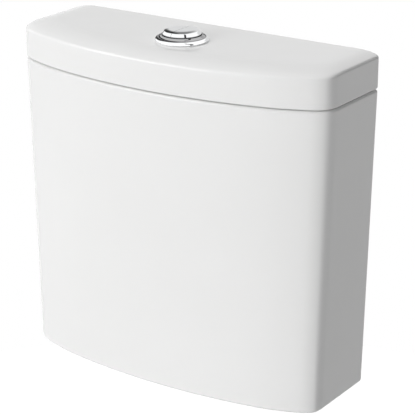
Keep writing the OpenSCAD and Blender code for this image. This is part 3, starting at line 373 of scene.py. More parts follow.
def loop_edges(bm, ring):
    """The edges of a closed ring of vertices, made where they are missing."""
    found = []
    for i, v in enumerate(ring):
        w = ring[(i + 1) % len(ring)]
        found.append(bm.edges.get((v, w)) or bm.edges.new((v, w)))
    return found


def fill(bm, rings, normal, more_edges=()):
    """A flat panel between an outline and the holes in it."""
    edges = list(more_edges)
    for ring in rings:
        edges += loop_edges(bm, ring)
    bmesh.ops.triangle_fill(bm, use_beauty=True, use_dissolve=False, edges=edges, normal=normal)


def circle(x, y, r, steps):
    angles = [2*math.pi*i/steps for i in range(steps)]
    return [(x + r*math.cos(a), y + r*math.sin(a)) for a in angles]


def arc(x, y, r, start, end, steps, first=0):
    out = []
    for i in range(first, steps + 1):
        a = math.radians(start + (end - start)*i/steps)
        out.append((x + r*math.cos(a), y + r*math.sin(a)))
    return out


def unit(start, end, steps):
    """Cosines and sines along a rounding."""
    return arc(0, 0, 1, start, end, steps)


def mix(a, b, t):
    return a + (b - a)*t


def sin_of(angle):
    return math.sin(math.radians(angle))


def cos_of(angle):
    return math.cos(math.radians(angle))


# Plan outlines, as in the CAD source but with finer steps
SHOULDER_R, SHOULDER_W, EASE_R, BACK_R, HOLLOW_R, SHARP_R = 230.0, 67.0, 40.0, 6.0, 8.0, 1.5
CORNER_R, BASE_CORNER_R, CORNER_FROM, CORNER_TO = 17.0, 10.5, 45.0, 74.0
FRONT_STEPS, SHOULDER_STEPS, EASE_STEPS, CORNER_STEPS, BACK_STEPS = 40, 14, 10, 14, 10
# Width, side depth and bow of the tank at its foot and at its rim
BASE_W, BASE_SIDE_D, BASE_BOW = 363.0, 106.5, 25.5
RIM_W, RIM_SIDE_D, RIM_BOW = 379.4, 106.7, 34.0
LID_HALF_W, LID_SIDE_D, LID_BOW, LID_BACK = 190.0, 107.0, 34.0, BACK_Y - 0.3
LID_EDGE_R = 4.0
# Width and height of the lid's roll-off
FRONT_ROLL, SIDE_ROLL = (28.0, 5.7), (20.0, 3.2)


def whole(right):
    """A half outline and its mirror, with the number of points in the half."""
    return right + [(-x, y) for x, y in right[:0:-1]], len(right)


def shoulder(half_w, depth, bow):
    """Middle of the shoulder, the angle at which it leaves the bow, and the bow's middle and radius."""
    front_r = (half_w*half_w + bow*bow)/(2*bow)
    front_y = BACK_Y - depth - bow + front_r
    turn = math.degrees(math.asin((half_w - SHOULDER_W)/front_r))
    far = front_r - SHOULDER_R
    return far*sin_of(turn), front_y - far*cos_of(turn), turn, front_y, front_r


def skin(half_w, depth, bow, tight, inset, back):
    """Outer outline: bowed front, shoulder, eased front corner, flat side and back corner."""
    sx, sy, turn, front_y, front_r = shoulder(half_w, depth, bow)
    far, near = SHOULDER_R - EASE_R, EASE_R - tight
    across = half_w - EASE_R - sx + near*(sin_of(CORNER_TO) - sin_of(CORNER_FROM))
    start = math.degrees(math.asin(across/far))
    ex, ey = sx + far*sin_of(start), sy - far*cos_of(start)
    cx, cy = ex + near*sin_of(CORNER_FROM), ey - near*cos_of(CORNER_FROM)
    side_y = cy + near*cos_of(CORNER_TO)
    br = max(BACK_R - inset, SHARP_R)
    right = arc(0, front_y, front_r - inset, -90, turn - 90, FRONT_STEPS)
    right += arc(sx, sy, SHOULDER_R - inset, turn - 90, start - 90, SHOULDER_STEPS, 1)
    right += arc(ex, ey, EASE_R - inset, start - 90, CORNER_FROM - 90, EASE_STEPS, 1)
    right += arc(cx, cy, tight - inset, CORNER_FROM - 90, CORNER_TO - 90, CORNER_STEPS, 1)
    right += arc(half_w - EASE_R, side_y, EASE_R - inset, CORNER_TO - 90, 0, EASE_STEPS, 1)
    right += arc(half_w - inset - br, back - inset - br, br, 0, 90, BACK_STEPS)
    return whole(right)


def hollow(half_w, depth, bow, inset, back):
    """Inner outline with plain round corners and as many points as an outer one."""
    sx, sy, turn, front_y, front_r = shoulder(half_w, depth, bow)
    sr = SHOULDER_R - inset
    cx = half_w - inset - HOLLOW_R
    cy = sy - math.sqrt((sr - HOLLOW_R)**2 - (cx - sx)**2)
    corner = math.degrees(math.atan2(cx - sx, sy - cy))
    right = arc(0, front_y, front_r - inset, -90, turn - 90, FRONT_STEPS)
    right += arc(sx, sy, sr, turn - 90, corner - 90, SHOULDER_STEPS + EASE_STEPS, 1)
    right += arc(cx, cy, HOLLOW_R, corner - 90, 0, CORNER_STEPS + EASE_STEPS, 1)
    right += arc(cx, back - inset - HOLLOW_R, HOLLOW_R, 0, 90, BACK_STEPS)
    return whole(right)


def tank_plan(z, inset, inner):
    t = z/TANK_H
    size = (mix(BASE_W, RIM_W, t)/2, mix(BASE_SIDE_D, RIM_SIDE_D, t), mix(BASE_BOW, RIM_BOW, t))
    if inner:
        return hollow(*size, inset, BACK_Y)
    return skin(*size, mix(BASE_CORNER_R, CORNER_R, t), inset, BACK_Y)


def lid_plan(inset, inner):
    if inner:
        return hollow(LID_HALF_W, LID_SIDE_D, LID_BOW, inset, LID_BACK)[0]
    return skin(LID_HALF_W, LID_SIDE_D, LID_BOW, CORNER_R, inset, LID_BACK)[0]


def roll_inset(depth, width, height):
    """How far the lid is drawn in at a depth: a roll-off that starts level, then the edge's radius."""
    r = (width*width + height*height)/(2*height)
    tilt = math.asin(width/r)
    if depth <= height:
        return width + LID_EDGE_R*(1 - math.sin(tilt)) - math.sqrt(r*r - (r - depth)**2)
    upright = max(math.cos(tilt) - (depth - height)/LID_EDGE_R, 0.0)
    return LID_EDGE_R*(1 - math.sqrt(1 - upright*upright))


def lid_edge(depth):
    """Outline of the lid at a depth below its top."""
    back_up = max(1 - depth/LID_EDGE_R, 0.0)
    back_inset = LID_EDGE_R*(1 - math.sqrt(1 - back_up*back_up))
    half_w = LID_HALF_W - roll_inset(depth, *SIDE_ROLL)
    side_d = LID_SIDE_D - roll_inset(depth, *FRONT_ROLL)
    return skin(half_w, side_d, LID_BOW, CORNER_R, 0.0, LID_BACK - back_inset)[0]


# Roundings of the tank, the steps of its levels, and its holes
FLOOR_R, RIM_INNER_R, RIM_R, FOOT_EDGE_R, RECESS_R = 4, 2, 3, 4, 2
FOOT_T, FOOT_INNER_R = 9.0, 1.2
WALL_STEPS, INNER_STEPS, OUTER_STEPS, FOOT_STEPS, RECESS_STEPS = 12, 8, 10, 4, 5
HOLE_EASE, EASE_START = 0.8, 0.3
# Each hole in the floor: x, y, radius, steps round it
FLOOR_HOLES = [(0, 0, 31.0, 96), (BOLT_X, 0, 6.0, 40), (-BOLT_X, 0, 6.0, 40), (FILL_X, 0, 11.48, 56)]
WALL_HOLE_X, WALL_HOLE_Z, WALL_HOLE_R, WALL_HOLE_STEPS = 100.0, 290.0, 4, 36


def tank_mesh():
    """Closed skin of the tank: inside, rim, outside, foot rim and underside, with its holes."""
    # Each level: height, inset, inner or outer outline, height whose plan it takes (None for its own)
    levels = []
    for x, y in unit(-90, 0, INNER_STEPS):
        levels.append((FLOOR_Z + FLOOR_R*(1 + y), WALL_T + FLOOR_R*(1 - x), True, None))
    inner_low = len(levels) - 1
    inner_high = inner_low + 1
    for x, y in unit(0, 90, INNER_STEPS):
        levels.append((TANK_H - RIM_INNER_R*(1 - y), WALL_T - RIM_INNER_R*(1 - x), True, None))
    for x, y in unit(90, 0, OUTER_STEPS):
        levels.append((TANK_H - RIM_R*(1 - y), RIM_R*(1 - x), False, None))
    outer_high = len(levels) - 1
    outer_low = outer_high + WALL_STEPS
    for i in range(1, WALL_STEPS):
        levels.append((mix(TANK_H - RIM_R, FOOT_EDGE_R, i/WALL_STEPS), 0, False, None))
    for x, y in unit(0, 90, OUTER_STEPS):
        levels.append((FOOT_EDGE_R*(1 - y), FOOT_EDGE_R*(1 - x), False, None))
    for x, y in unit(0, 90, FOOT_STEPS):
        levels.append((FOOT_INNER_R*(1 - x), FOOT_T - FOOT_INNER_R + FOOT_INNER_R*y, True, 0.0))
    for x, y in unit(0, 90, RECESS_STEPS):
        levels.append((FOOT_H - RECESS_R + RECESS_R*y, FOOT_T + RECESS_R*(1 - x), True, 0.0))
    bm = bmesh.new()
    rings, half = [], 0
    for z, inset, inner, plan_z in levels:
        points, half = tank_plan(z if plan_z is None else plan_z, inset, inner)
        rings.append(ring_at(bm, points, z))
    for k in range(len(rings) - 1):
        back_open = k == inner_low or outer_high <= k < outer_low
        bridge(bm, rings[k], rings[k + 1], (half - 1,) if back_open else ())
    # Floor and underside
    tops, feet = [], []
    for x, y, r, steps in FLOOR_HOLES:
        chain = [ring_at(bm, circle(x, y, hole_r, steps), z)
                 for hole_r, z in ((r + HOLE_EASE, FLOOR_Z), (r, FLOOR_Z - HOLE_EASE),
                                   (r, FOOT_H + HOLE_EASE), (r + HOLE_EASE, FOOT_H))]
        chain_up(bm, chain)
        tops.append(chain[0])
        feet.append(chain[-1])
    fill(bm, [rings[0]] + tops, UP)
    fill(bm, [rings[-1]] + feet, DOWN)
    # Back wall with the two screw holes
    start = EASE_START*HOLE_EASE
    outside, inside = [], []
    for x in (-WALL_HOLE_X, WALL_HOLE_X):
        chain = []
        for wider, y in ((HOLE_EASE, BACK_Y), (start, BACK_Y - start), (0, BACK_Y - HOLE_EASE),
                         (0, BACK_Y - WALL_T + HOLE_EASE), (HOLE_EASE, BACK_Y - WALL_T)):
            round_hole = circle(x, WALL_HOLE_Z, WALL_HOLE_R + wider, WALL_HOLE_STEPS)
            chain.append([bm.verts.new((px*MM, y*MM, pz*MM)) for px, pz in round_hole])
        chain_up(bm, chain)
        outside.append(chain[0])
        inside.append(chain[-1])
    for low, high, holes, normal in ((outer_high, outer_low, outside, BACKWARD),
                                     (inner_low, inner_high, inside, FORWARD)):
        border = []
        for k in range(low, high):
            for i in (half - 1, half):
                border.append(bm.edges.get((rings[k][i], rings[k + 1][i])))
        for k in (low, high):
            border.append(bm.edges.get((rings[k][half - 1], rings[k][half])))
        fill(bm, holes, normal, border)
    return bm


# Roundings of the lid, its rib's insets from the outline, and the button hole
LID_FOOT_R, LID_UNDER_R, RIB_EASE, RIB_H = 2, 4, 1.5, 8.5
RIB_OUT, RIB_IN = 14, 20
EDGE_LEVELS, RIB_STEPS, UNDER_STEPS = 44, 5, 6
BUTTON_HOLE_R, BUTTON_HOLE_STEPS = 23.0, 96


def lid_mesh():
    """Closed skin of the lid: top, soft edge, side, rib and hollow underside, with the button hole."""
    bm = bmesh.new()
    rings = []
    width, height = FRONT_ROLL
    deepest = height + LID_EDGE_R*math.cos(2*math.atan(height/width))
    for i in range(EDGE_LEVELS + 1):
        depth = deepest*(i/EDGE_LEVELS)**2
        rings.append(ring_at(bm, lid_edge(depth), LID_TOP - depth))
    # Each level: height, inset, inner or outer outline
    levels = []
    for x, y in unit(0, 90, OUTER_STEPS):
        levels.append((LID_Z + LID_FOOT_R*(1 - y), LID_FOOT_R*(1 - x), False))
    rib_z = LID_Z - RIB_H
    for x, y in unit(90, 0, RIB_STEPS):
        levels.append((LID_Z - RIB_EASE*(1 - y), RIB_OUT - RIB_EASE*(1 - x), True))
    for x, y in unit(180, 270, RIB_STEPS):
        levels.append((rib_z + RIB_EASE*(1 + y), RIB_OUT + RIB_EASE*(1 + x), True))
    for x, y in unit(270, 360, RIB_STEPS):
        levels.append((rib_z + RIB_EASE*(1 + y), RIB_IN - RIB_EASE*(1 - x), True))
    for x, y in unit(180, 90, UNDER_STEPS):
        levels.append((LID_UNDER - LID_UNDER_R*(1 - y), RIB_IN + LID_UNDER_R*(1 + x), True))
    for z, inset, inner in levels:
        rings.append(ring_at(bm, lid_plan(inset, inner), z))
    chain_up(bm, rings)
    wide = BUTTON_HOLE_R + HOLE_EASE
    chain = [ring_at(bm, circle(0, BUTTON_Y, r, BUTTON_HOLE_STEPS), z)
             for r, z in ((wide, LID_TOP), (BUTTON_HOLE_R, LID_TOP - HOLE_EASE),
                          (BUTTON_HOLE_R, LID_UNDER + HOLE_EASE), (wide, LID_UNDER))]
    chain_up(bm, chain)
    fill(bm, [rings[0], chain[0]], UP)
    fill(bm, [rings[-1], chain[-1]], DOWN)
    return bm


# Turned forms

# Turns over which a thread runs out, and its groove's height in the middle, cut off at 1, and fall per turn
RUN_OUT, GROOVE_TOP, GROOVE_FALL = 0.75, 1.35, 4.0
NO_THREAD = (1.0, 0.0)
SAME_RADIUS, ON_AXIS = 1e-9, 1e-6


def threaded(profile, spans, grain=12):
    """Profile points (r, z) with thread spans (z from, z to, pitch, depth) cut into straight runs.
    Each returned point is (r, z, pitch, depth), with depth 0 off the thread."""
    out = []
    for (r0, z0), (r1, z1) in zip(profile, profile[1:]):
        out.append((r0, z0, *NO_THREAD))
        for low, high, pitch, depth in spans:
            if abs(r0 - r1) < SAME_RADIUS and min(z0, z1) <= low and high <= max(z0, z1):
                steps = int(round((high - low)/pitch*grain))
                for i in range(steps + 1):
                    z = mix(low, high, i/steps) if z1 > z0 else mix(high, low, i/steps)
                    fade = min(1.0, (z - low)/(RUN_OUT*pitch), (high - z)/(RUN_OUT*pitch))
                    out.append((r0, z, pitch, depth*max(0.0, fade)))
    out.append((*profile[-1], *NO_THREAD))
    return out


def lathe(bm, profile, centre, steps, closed=True):
    """Rings of a turned form about a vertical axis; a radius of 0 ends in one point."""
    rows = []
    for p in profile:
        r, z = p[0], p[1]
        pitch, depth = p[2:] or NO_THREAD
        if r < ON_AXIS:
            rows.append([bm.verts.new((centre[0]*MM, centre[1]*MM, z*MM))])
            continue
        row = []
        for i in range(steps):
            a = 2*math.pi*i/steps
            phase = (z/pitch - i/steps) % 1.0
            groove = depth*min(1.0, max(0.0, GROOVE_TOP - abs(phase - 0.5)*GROOVE_FALL))
            row.append(bm.verts.new(((centre[0] + (r - groove)*math.cos(a))*MM,
                                     (centre[1] + (r - groove)*math.sin(a))*MM, z*MM)))
        rows.append(row)
    pairs = list(zip(rows, rows[1:]))
    if closed:
        pairs.append((rows[-1], rows[0]))
    for a, b in pairs:
        if len(a) == 1 and len(b) == 1:
            continue
        for i in range(steps):
            j = (i + 1) % steps
            quad = [a[i % len(a)], a[j % len(a)], b[j % len(b)], b[i % len(b)]]
            corners = []
            for v in quad:
                if v not in corners:
                    corners.append(v)
            bm.faces.new(corners)
    return rows


def box(bm, low, high, turn=0.0):
    """A block with eased edges, turned about the vertical axis through the origin."""
    ease = 0.6*MM
    made = bmesh.ops.create_cube(bm, size=1.0)["verts"]
    c, s = cos_of(turn), sin_of(turn)
    for v in made:
        x, y, z = [mix(low[k], high[k], v.co[k] + 0.5)*MM for k in range(3)]
        v.co = Vector((x*c - y*s, x*s + y*c, z))
    edges = list({e for v in made for e in v.link_edges})
    bmesh.ops.bevel(bm, geom=edges, offset=ease, segments=2, profile=0.5, affect="EDGES")


# Ceramic
piece("tank_glazed", tank_mesh(), "glaze", "cistern", "tank", CERAMIC_SHARP, weighted=True)
piece("lid_glazed", lid_mesh(), "glaze", "lid", "lid", CERAMIC_SHARP, weighted=True)


# Push button
BEZEL_R, BEAD, COLLAR, GASKET, BORE, BARREL_R = 28.0, 3.7, 6.4, 0.6, 20.8, 22.4
# The bezel's rim turns under round the gasket
RIM, RIM_INNER = 0.5, 26.4
COLLAR_W, BORE_EDGE, COLLAR_EDGE, BARREL_EASE = 1.0, 0.25, 0.2, 0.6
BARREL_THREAD = (341.2, 352.8, 2.0, 0.8)
ROD_HOLE_R, ROD_HOLE_STEPS = 2.8, 32
BEZEL_STEPS, BUTTON_STEPS, BOSS_STEPS = 160, 192, 40
# Half the gap between the two buttons; the bevel of its edges and the reach of the cut are in metres
SEAM, SEAM_EDGE, SEAM_ANGLE, CUT_REACH = 0.12, 0.0001, 60, 1e-8
SIDES = ((1, "full"), (-1, "half"))


def bezel_mesh():
    """Bore, collar, cove, round bead, rim and threaded barrel with the two rod holes in its floor."""
    low, top = LID_TOP + GASKET, LID_TOP + COLLAR
    cove = COLLAR - GASKET - BEAD + 0.1*BEAD
    cove_x = BORE + COLLAR_W + cove
    profile = [(BORE, BARREL_FLOOR_Z), (BORE, top - BORE_EDGE)]
    profile += arc(BORE + BORE_EDGE, top - BORE_EDGE, BORE_EDGE, start=180, end=90, steps=4, first=1)
    profile += arc(cove_x - cove - COLLAR_EDGE, top - COLLAR_EDGE, COLLAR_EDGE, start=90, end=0, steps=4)
    profile += arc(cove_x, top, cove, start=186, end=268, steps=22)
    profile += arc(BEZEL_R - BEAD, low, BEAD, start=92, end=0, steps=30)
    profile += arc(BEZEL_R - RIM, low, RIM, start=0, end=-90, steps=6, first=1)
    profile += [(RIM_INNER, low - RIM), (RIM_INNER, low), (BARREL_R, low),
                (BARREL_R, BARREL_FOOT_Z + BARREL_EASE), (BARREL_R - BARREL_EASE, BARREL_FOOT_Z)]
    bm = bmesh.new()
    rows = lathe(bm, threaded(profile, [BARREL_THREAD]), (0, BUTTON_Y), BEZEL_STEPS, closed=False)
    holes = [circle(side*ROD_X, ROD_Y, ROD_HOLE_R, ROD_HOLE_STEPS) for side, which in SIDES]
    tops = [ring_at(bm, hole, BARREL_FLOOR_Z) for hole in holes]
    feet = [ring_at(bm, hole, BARREL_FOOT_Z) for hole in holes]
    for a, b in zip(tops, feet):
        bridge(bm, a, b)
    fill(bm, [rows[0]] + tops, UP)
    fill(bm, [rows[-1]] + feet, DOWN)
    return bm


def button_mesh(side):
    """One half of the round button: crowned top, bevel, skirt, hollow and the boss for its rod."""
    # Heights above the lid; the crown is level as far as flat, then falls to its edge
    flat, top_r, top, fall, edge, bevel_z, r = 11.0, 17.6, 12.0, 1.3, 1.5, 7.2, 20.3
    skirt_z, foot, foot_ease, inner_r, roof, roof_ease = 2.0, -4.0, 0.3, 18.3, 6.4, 1.0
    flat_steps, bevel_steps = 6, 5
    crown = ((top_r - flat)**2 + fall**2)/(2*fall)
    tilt = math.degrees(math.asin((top_r - flat)/crown))
    ex = top_r - edge*sin_of(tilt)
    ez = top - crown + (crown - edge)*cos_of(tilt)
    dx, dz = r - ex, bevel_z - ez
    slope = math.degrees(math.atan2(dz, dx) + math.acos(edge/math.hypot(dx, dz)))
    bevel_top = (ex + edge*cos_of(slope), ez + edge*sin_of(slope))
    outer = [(flat*k/flat_steps, top) for k in range(flat_steps)]
    outer += arc(flat, top - crown, crown, start=90, end=90 - tilt, steps=16)
    outer += arc(ex, ez, edge, start=90 - tilt, end=slope, steps=10, first=1)
    outer += [(mix(bevel_top[0], r, k/bevel_steps), mix(bevel_top[1], bevel_z, k/bevel_steps))
              for k in range(1, bevel_steps + 1)]
    outer += [(r, skirt_z), (r, foot + foot_ease), (r - foot_ease, foot), (inner_r + foot_ease, foot),
              (inner_r, foot + foot_ease), (inner_r, roof - roof_ease), (inner_r - roof_ease, roof),
              (0.0, roof)]
    bm = bmesh.new()
    lathe(bm, [(a, LID_TOP + b) for a, b in outer], (0, BUTTON_Y), BUTTON_STEPS, closed=False)
    cut = bmesh.ops.bisect_plane(bm, geom=bm.verts[:] + bm.edges[:] + bm.faces[:], dist=CUT_REACH,
                                 plane_co=(SEAM*side*MM, 0, 0), plane_no=(side, 0, 0), clear_inner=True)
    edges = [e for e in cut["geom_cut"] if isinstance(e, bmesh.types.BMEdge)]
    bmesh.ops.triangle_fill(bm, use_beauty=True, use_dissolve=False, edges=edges, normal=(-side, 0, 0))
    socket_r, socket_top, boss_r, boss_top, boss_ease = 2.53, 370.0, 4.9, 372.0, 0.3
    boss = [(socket_r, BUTTON_FOOT_Z), (boss_r - boss_ease, BUTTON_FOOT_Z),
            (boss_r, BUTTON_FOOT_Z + boss_ease), (boss_r, boss_top), (0.0, boss_top),
            (0.0, socket_top), (socket_r, socket_top)]
    lathe(bm, boss, (side*ROD_X, ROD_Y), BOSS_STEPS)
    return bm


def spring_mesh(side):
    """Round wire wound in five turns between the barrel's floor and the button's foot."""
    turns, per_turn, sides, wire, radius, slip = 5, 56, 14, 0.45, 4.0, 0.03
    low, high = BARREL_FLOOR_Z + wire + slip, BUTTON_FOOT_Z - wire - slip
    bm = bmesh.new()
    rows = []
    total = turns*per_turn
    for i in range(total + 1):
        a = 2*math.pi*i/per_turn
        z = mix(low, high, i/total)
        row = []
        for out, up in circle(0, 0, wire, sides):
            x = side*ROD_X + (radius + out)*math.cos(a)
            y = ROD_Y + (radius + out)*math.sin(a)
            row.append(bm.verts.new((x*MM, y*MM, (z + up)*MM)))
        rows.append(row)
    chain_up(bm, rows)
    bm.faces.new(rows[0])
    bm.faces.new(rows[-1])
    return bm


piece("bezel_polished", bezel_mesh(), "chrome", "lid", "button_bezel")
for side, which in SIDES:
    obj = piece(which + "_button_polished", button_mesh(side), "chrome", which + "_button",
                which + "_flush_button")
    ease = obj.modifiers.new("seam_edge", "BEVEL")
    ease.limit_method = "ANGLE"
    ease.angle_limit = math.radians(SEAM_ANGLE)
    ease.width = SEAM_EDGE
    ease.segments = 2
    ease.harden_normals = True
for side, which in SIDES:
    spring = piece(which + "_spring_wound", spring_mesh(side), "steel", "lid", which + "_flush_spring",
                   WIRE_SHARP)
    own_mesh(spring)


# Turned pieces with threads. Profiles are (radius, height), threads (from, to, pitch, depth)
TAIL_PROFILE = [
    (25.0, -13.2), (25.8, -14.0), (29.0, -14.0), (29.8, -13.2), (29.8, 30.0), (39.4, 30.0), (40.0, 30.6),
    (40.0, 35.4), (39.4, 36.0), (30.8, 36.0), (30.0, 36.8), (30.0, 39.4), (29.6, 40.0), (27.9, 40.0),
    (27.5, 39.4), (27.5, 30.0), (25.0, 30.0)]
TAIL_THREAD = (-12.6, 13.0, 3.0, 1.2)
TOP_RING_PROFILE = [
    (34.0, 78.6), (34.6, 78.0), (38.4, 78.0), (39.0, 78.6), (39.0, 83.4), (38.4, 84.0), (34.6, 84.0),
    (34.0, 83.4)]
# Opposite corners of a leg of the valve base
LEG_LOW, LEG_HIGH, LEGS = (34.0, -4.0, 34.0), (39.0, 4.0, 81.0), 6
INLET_PROFILE = [
    (6.5, -27.4), (7.1, -28.0), (9.8, -28.0), (10.48, -27.2), (10.48, 3.5), (9.68, 3.5), (9.68, 5.0),
    (10.48, 5.0), (10.48, 31.0), (16.4, 31.0), (17.0, 31.6), (17.0, 34.4), (16.4, 35.0), (11.6, 35.0),
    (11.0, 35.6), (11.0, 148.0), (13.6, 150.2), (11.0, 150.2), (11.0, 235.0), (6.5, 235.0)]
INLET_THREADS = [(-26.8, 3.2, 1.814, 0.75), (5.2, 13.8, 1.814, 0.75)]
BOLT_PROFILE = [
    (0.0, -26.0), (3.3, -26.0), (4.0, -25.3), (4.0, 4.4), (3.6, 4.4), (3.6, 5.9), (4.0, 5.9), (4.0, 33.6),
    (8.0, 33.6), (8.0, 36.0), (7.7, 36.9), (6.9, 37.9), (5.5, 38.6), (0.0, 38.6)]
BOLT_THREAD = (-25.0, 4.2, 1.25, 0.6)
LINK_Y = -26.0
LINK_PROFILE = [
    (0.0, 212.6), (2.0, 212.6), (2.0, 264.5), (3.9, 264.5), (4.2, 264.8), (4.2, 267.2), (3.9, 267.5),
    (2.0, 267.5), (2.0, 289.0), (1.5, 289.5), (0.0, 289.5)]
LINK_THREAD = (267.8, 288.7, 1.0, 0.4)
# Points per turn of a small thread, and steps round each turned piece
SMALL_GRAIN = 10
TAIL_STEPS, INLET_STEPS, BOLT_STEPS, LINK_STEPS = 128, 96, 56, 48


def valve_base_mesh():
    """Threaded tail with flange and seat, legs between the water ports, and the top ring."""
    bm = bmesh.new()
    lathe(bm, threaded(TAIL_PROFILE, [TAIL_THREAD]), (0, 0), TAIL_STEPS)
    for i in range(LEGS):
        box(bm, LEG_LOW, LEG_HIGH, 360/LEGS*i)
    lathe(bm, TOP_RING_PROFILE, (0, 0), TAIL_STEPS)
    return bm


def inlet_mesh():
    bm = bmesh.new()
    lathe(bm, threaded(INLET_PROFILE, INLET_THREADS), (FILL_X, 0), INLET_STEPS)
    return bm


def bolts_mesh():
    bm = bmesh.new()
    profile = threaded(BOLT_PROFILE, [BOLT_THREAD], SMALL_GRAIN)
    for x in (-BOLT_X, BOLT_X):
        lathe(bm, profile, (x, 0), BOLT_STEPS, closed=False)
    return bm


def link_mesh():
    bm = bmesh.new()
    profile = threaded(LINK_PROFILE, [LINK_THREAD], SMALL_GRAIN)
    lathe(bm, profile, (FILL_X, LINK_Y), LINK_STEPS, closed=False)
    return bm


piece("valve_base_threaded", valve_base_mesh(), "white_plastic", "cistern", "valve_base")
piece("inlet_threaded", inlet_mesh(), "white_plastic", "cistern", "inlet_shank")
piece("bolts_threaded", bolts_mesh(), "brass", "cistern", "coupling_bolts")
piece("link_threaded", link_mesh(), "brass", "fill_float", "float_link")

# The other CAD nodes keep their shape and get their slot's material
slot_of = {s["node"]: s["material_slot"] for s in frame["record"]["subparts"]}
for name, obj in nodes.items():
    obj.data.materials.clear()
    obj.data.materials.append(looks[slot_of[name]])
# These three have doubled points at the poles of their round ends
for name in ("full_flush_rod", "half_flush_rod", "refill_pipe"):
    weld = nodes[name].modifiers.new("join_poles", "WELD")
    weld.merge_threshold = SAME_POINT


# Stage: pale floor well below the hung tank, soft light from the world, the photo's camera
FLOOR_LEVEL, FLOOR_RADIUS, FLOOR_STEPS = -0.40, 0.95, 96
FLOOR_TONE, FLOOR_GLOW = 0.53, 0.65
LENS, SENSOR, CLIP = 150.97, 36.0, (0.05, 50.0)
EYE, AIM = (0.98766, -1.43839, 0.80972), (0.034829, -0.024, 0.191702)


def floor_object():
    """Matte disc that glows where it is seen, directly, mirrored or through clear plastic."""
    bm = bmesh.new()
    disc = circle(0, 0, FLOOR_RADIUS, FLOOR_STEPS)
    bm.faces.new([bm.verts.new((x, y, FLOOR_LEVEL)) for x, y in disc])
    mesh = bpy.data.meshes.new("floor")
    bm.to_mesh(mesh)
    bm.free()
    mat = bpy.data.materials.new("floor_white")
    mat.use_nodes = True
    tree = mat.node_tree
    tree.nodes.clear()
    out = tree.nodes.new("ShaderNodeOutputMaterial")
    matte = tree.nodes.new("ShaderNodeBsdfDiffuse")
    matte.inputs["Color"].default_value = (FLOOR_TONE, FLOOR_TONE, FLOOR_TONE, 1.0)
    glow = tree.nodes.new("ShaderNodeEmission")
    path = tree.nodes.new("ShaderNodeLightPath")
    seen = math_node(tree, "MAXIMUM", path.outputs["Is Camera Ray"], path.outputs["Is Glossy Ray"])
    seen = math_node(tree, "MAXIMUM", seen, path.outputs["Is Transmission Ray"])
    tree.links.new(math_node(tree, "MULTIPLY", seen, FLOOR_GLOW), glow.inputs["Strength"])
    add = tree.nodes.new("ShaderNodeAddShader")
    tree.links.new(matte.outputs[0], add.inputs[0])
    tree.links.new(glow.outputs[0], add.inputs[1])
    tree.links.new(add.outputs[0], out.inputs["Surface"])
    mesh.materials.append(mat)
    obj = bpy.data.objects.new("floor", mesh)
    bpy.context.scene.collection.objects.link(obj)


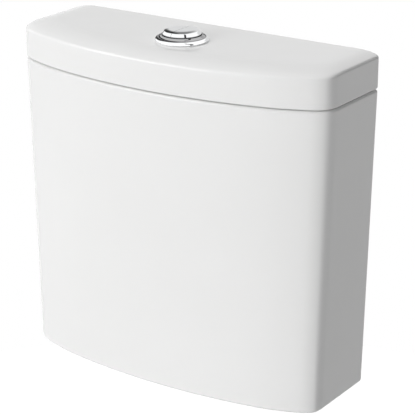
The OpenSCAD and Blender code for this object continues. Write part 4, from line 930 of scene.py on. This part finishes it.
def world_light():
    """Soft light, strongest from the front left; white to the camera; dark flags that chrome shows."""
    world = bpy.data.worlds.new("studio")
    bpy.context.scene.world = world
    world.use_nodes = True
    tree = world.node_tree
    tree.nodes.clear()
    out = tree.nodes.new("ShaderNodeOutputWorld")
    direction = tree.nodes.new("ShaderNodeTexCoord").outputs["Generated"]
    x, y, z = split(tree, direction)

    def lamp(azimuth, elevation, tightness, strength):
        """A soft round lobe of light; azimuth 0 is the front, 90 the right."""
        level = cos_of(elevation)
        node = tree.nodes.new("ShaderNodeVectorMath")
        node.operation = "DOT_PRODUCT"
        node.inputs[1].default_value = (sin_of(azimuth)*level, -cos_of(azimuth)*level, sin_of(elevation))
        tree.links.new(direction, node.inputs[0])
        facing = math_node(tree, "MAXIMUM", node.outputs["Value"], 0.0)
        return times(math_node(tree, "POWER", facing, tightness), strength)

    def rise(value, band):
        return spread(tree, value, band)

    def fall(value, band):
        return spread(tree, value, band, (1.0, 0.0))

    def plus(a, b):
        return math_node(tree, "ADD", a, b)

    def minus(a, b):
        return math_node(tree, "SUBTRACT", a, b)

    def times(*values):
        total = values[0]
        for v in values[1:]:
            total = math_node(tree, "MULTIPLY", total, v)
        return total

    def blend(a, b, weight):
        return plus(a, times(minus(b, a), weight))

    # Directions in degrees: round from the front, to the right positive, and up from level
    to_degrees = 180/math.pi
    around = times(math_node(tree, "ARCTAN2", x, times(y, -1.0)), to_degrees)
    up = times(math_node(tree, "ARCSINE", z), to_degrees)

    # Light that falls on the object: key, high light behind on the left, faint light behind, surroundings
    soft = plus(lamp(azimuth=-14, elevation=11, tightness=24.0, strength=9.4),
                lamp(azimuth=-125, elevation=63, tightness=24.0, strength=6.3))
    soft = plus(soft, lamp(azimuth=130, elevation=-10, tightness=4.0, strength=0.12))
    horizon, below_and_above = (-0.12, 0.12), (0.46, 0.18)
    soft = plus(soft, spread(tree, z, horizon, below_and_above))

    # What chrome shows: white all round, a dark flag behind on the left, paler far behind and low down
    open_tone, back_tone, flag_tones = 1.1, 0.73, (0.25, 0.04)
    flag = spread(tree, around, (-142, -132), flag_tones)
    low_back = times(fall(up, (18, 38)), fall(around, (-142, -136)))
    flag = blend(flag, back_tone, low_back)
    past_edge = minus(around, spread(tree, up, (5, 35), (-119, -95)))
    cover = times(rise(around, (-170, -155)), fall(past_edge, (-5, 5)), fall(up, (62, 82)))
    shine = blend(open_tone, flag, cover)
    behind = math_node(tree, "MAXIMUM", fall(around, (-160, -150)), rise(around, (140, 165)))
    shine = blend(shine, back_tone, times(behind, fall(up, (20, 34))))
    # A narrow dark stand on the right, leaning
    stand_dark = 0.97
    stand_middle = spread(tree, up, (25, 60), (77, 59))
    beside = math_node(tree, "ABSOLUTE", minus(around, stand_middle))
    stand = times(spread(tree, beside, (6.0, 9.0), (stand_dark, 0.0)), fall(up, (62, 75)))
    shine = times(shine, minus(1.0, stand))

    # What the glaze mirrors: a bright panel on the front left, and dusk behind on the right
    white_tone, dusk_tone, panel_tone = 1.0, 0.15, 6.0
    panel = times(rise(around, (-66, -58)), fall(around, (-22, -16)))
    panel = times(panel, rise(up, (12, 18)), fall(up, (34, 40)))
    dusk = times(rise(around, (95, 115)), fall(around, (165, 178)), rise(up, (-12, 6)))
    mirrored = blend(blend(white_tone, dusk_tone, dusk), panel_tone, panel)

    path = tree.nodes.new("ShaderNodeLightPath")
    strength = blend(soft, mirrored, path.outputs["Is Glossy Ray"])
    strength = blend(strength, shine, path.outputs["Is Singular Ray"])
    seen = math_node(tree, "MAXIMUM", path.outputs["Is Camera Ray"], path.outputs["Is Transmission Ray"])
    strength = blend(strength, white_tone, seen)
    glow = tree.nodes.new("ShaderNodeBackground")
    glow.inputs["Color"].default_value = (1.0, 1.0, 1.0, 1.0)
    tree.links.new(strength, glow.inputs["Strength"])
    tree.links.new(glow.outputs[0], out.inputs["Surface"])


def photo_camera():
    """Camera fitted to the photo's outline."""
    data = bpy.data.cameras.new("camera")
    data.lens = LENS
    data.sensor_width = SENSOR
    data.clip_start, data.clip_end = CLIP
    cam = bpy.data.objects.new("camera", data)
    cam.location = EYE
    cam.rotation_mode = "QUATERNION"
    cam.rotation_quaternion = (Vector(AIM) - cam.location).to_track_quat("-Z", "Y")
    bpy.context.scene.collection.objects.link(cam)
    bpy.context.scene.camera = cam


floor_object()
world_light()
photo_camera()
bpy.context.scene.view_settings.view_transform = "Standard"
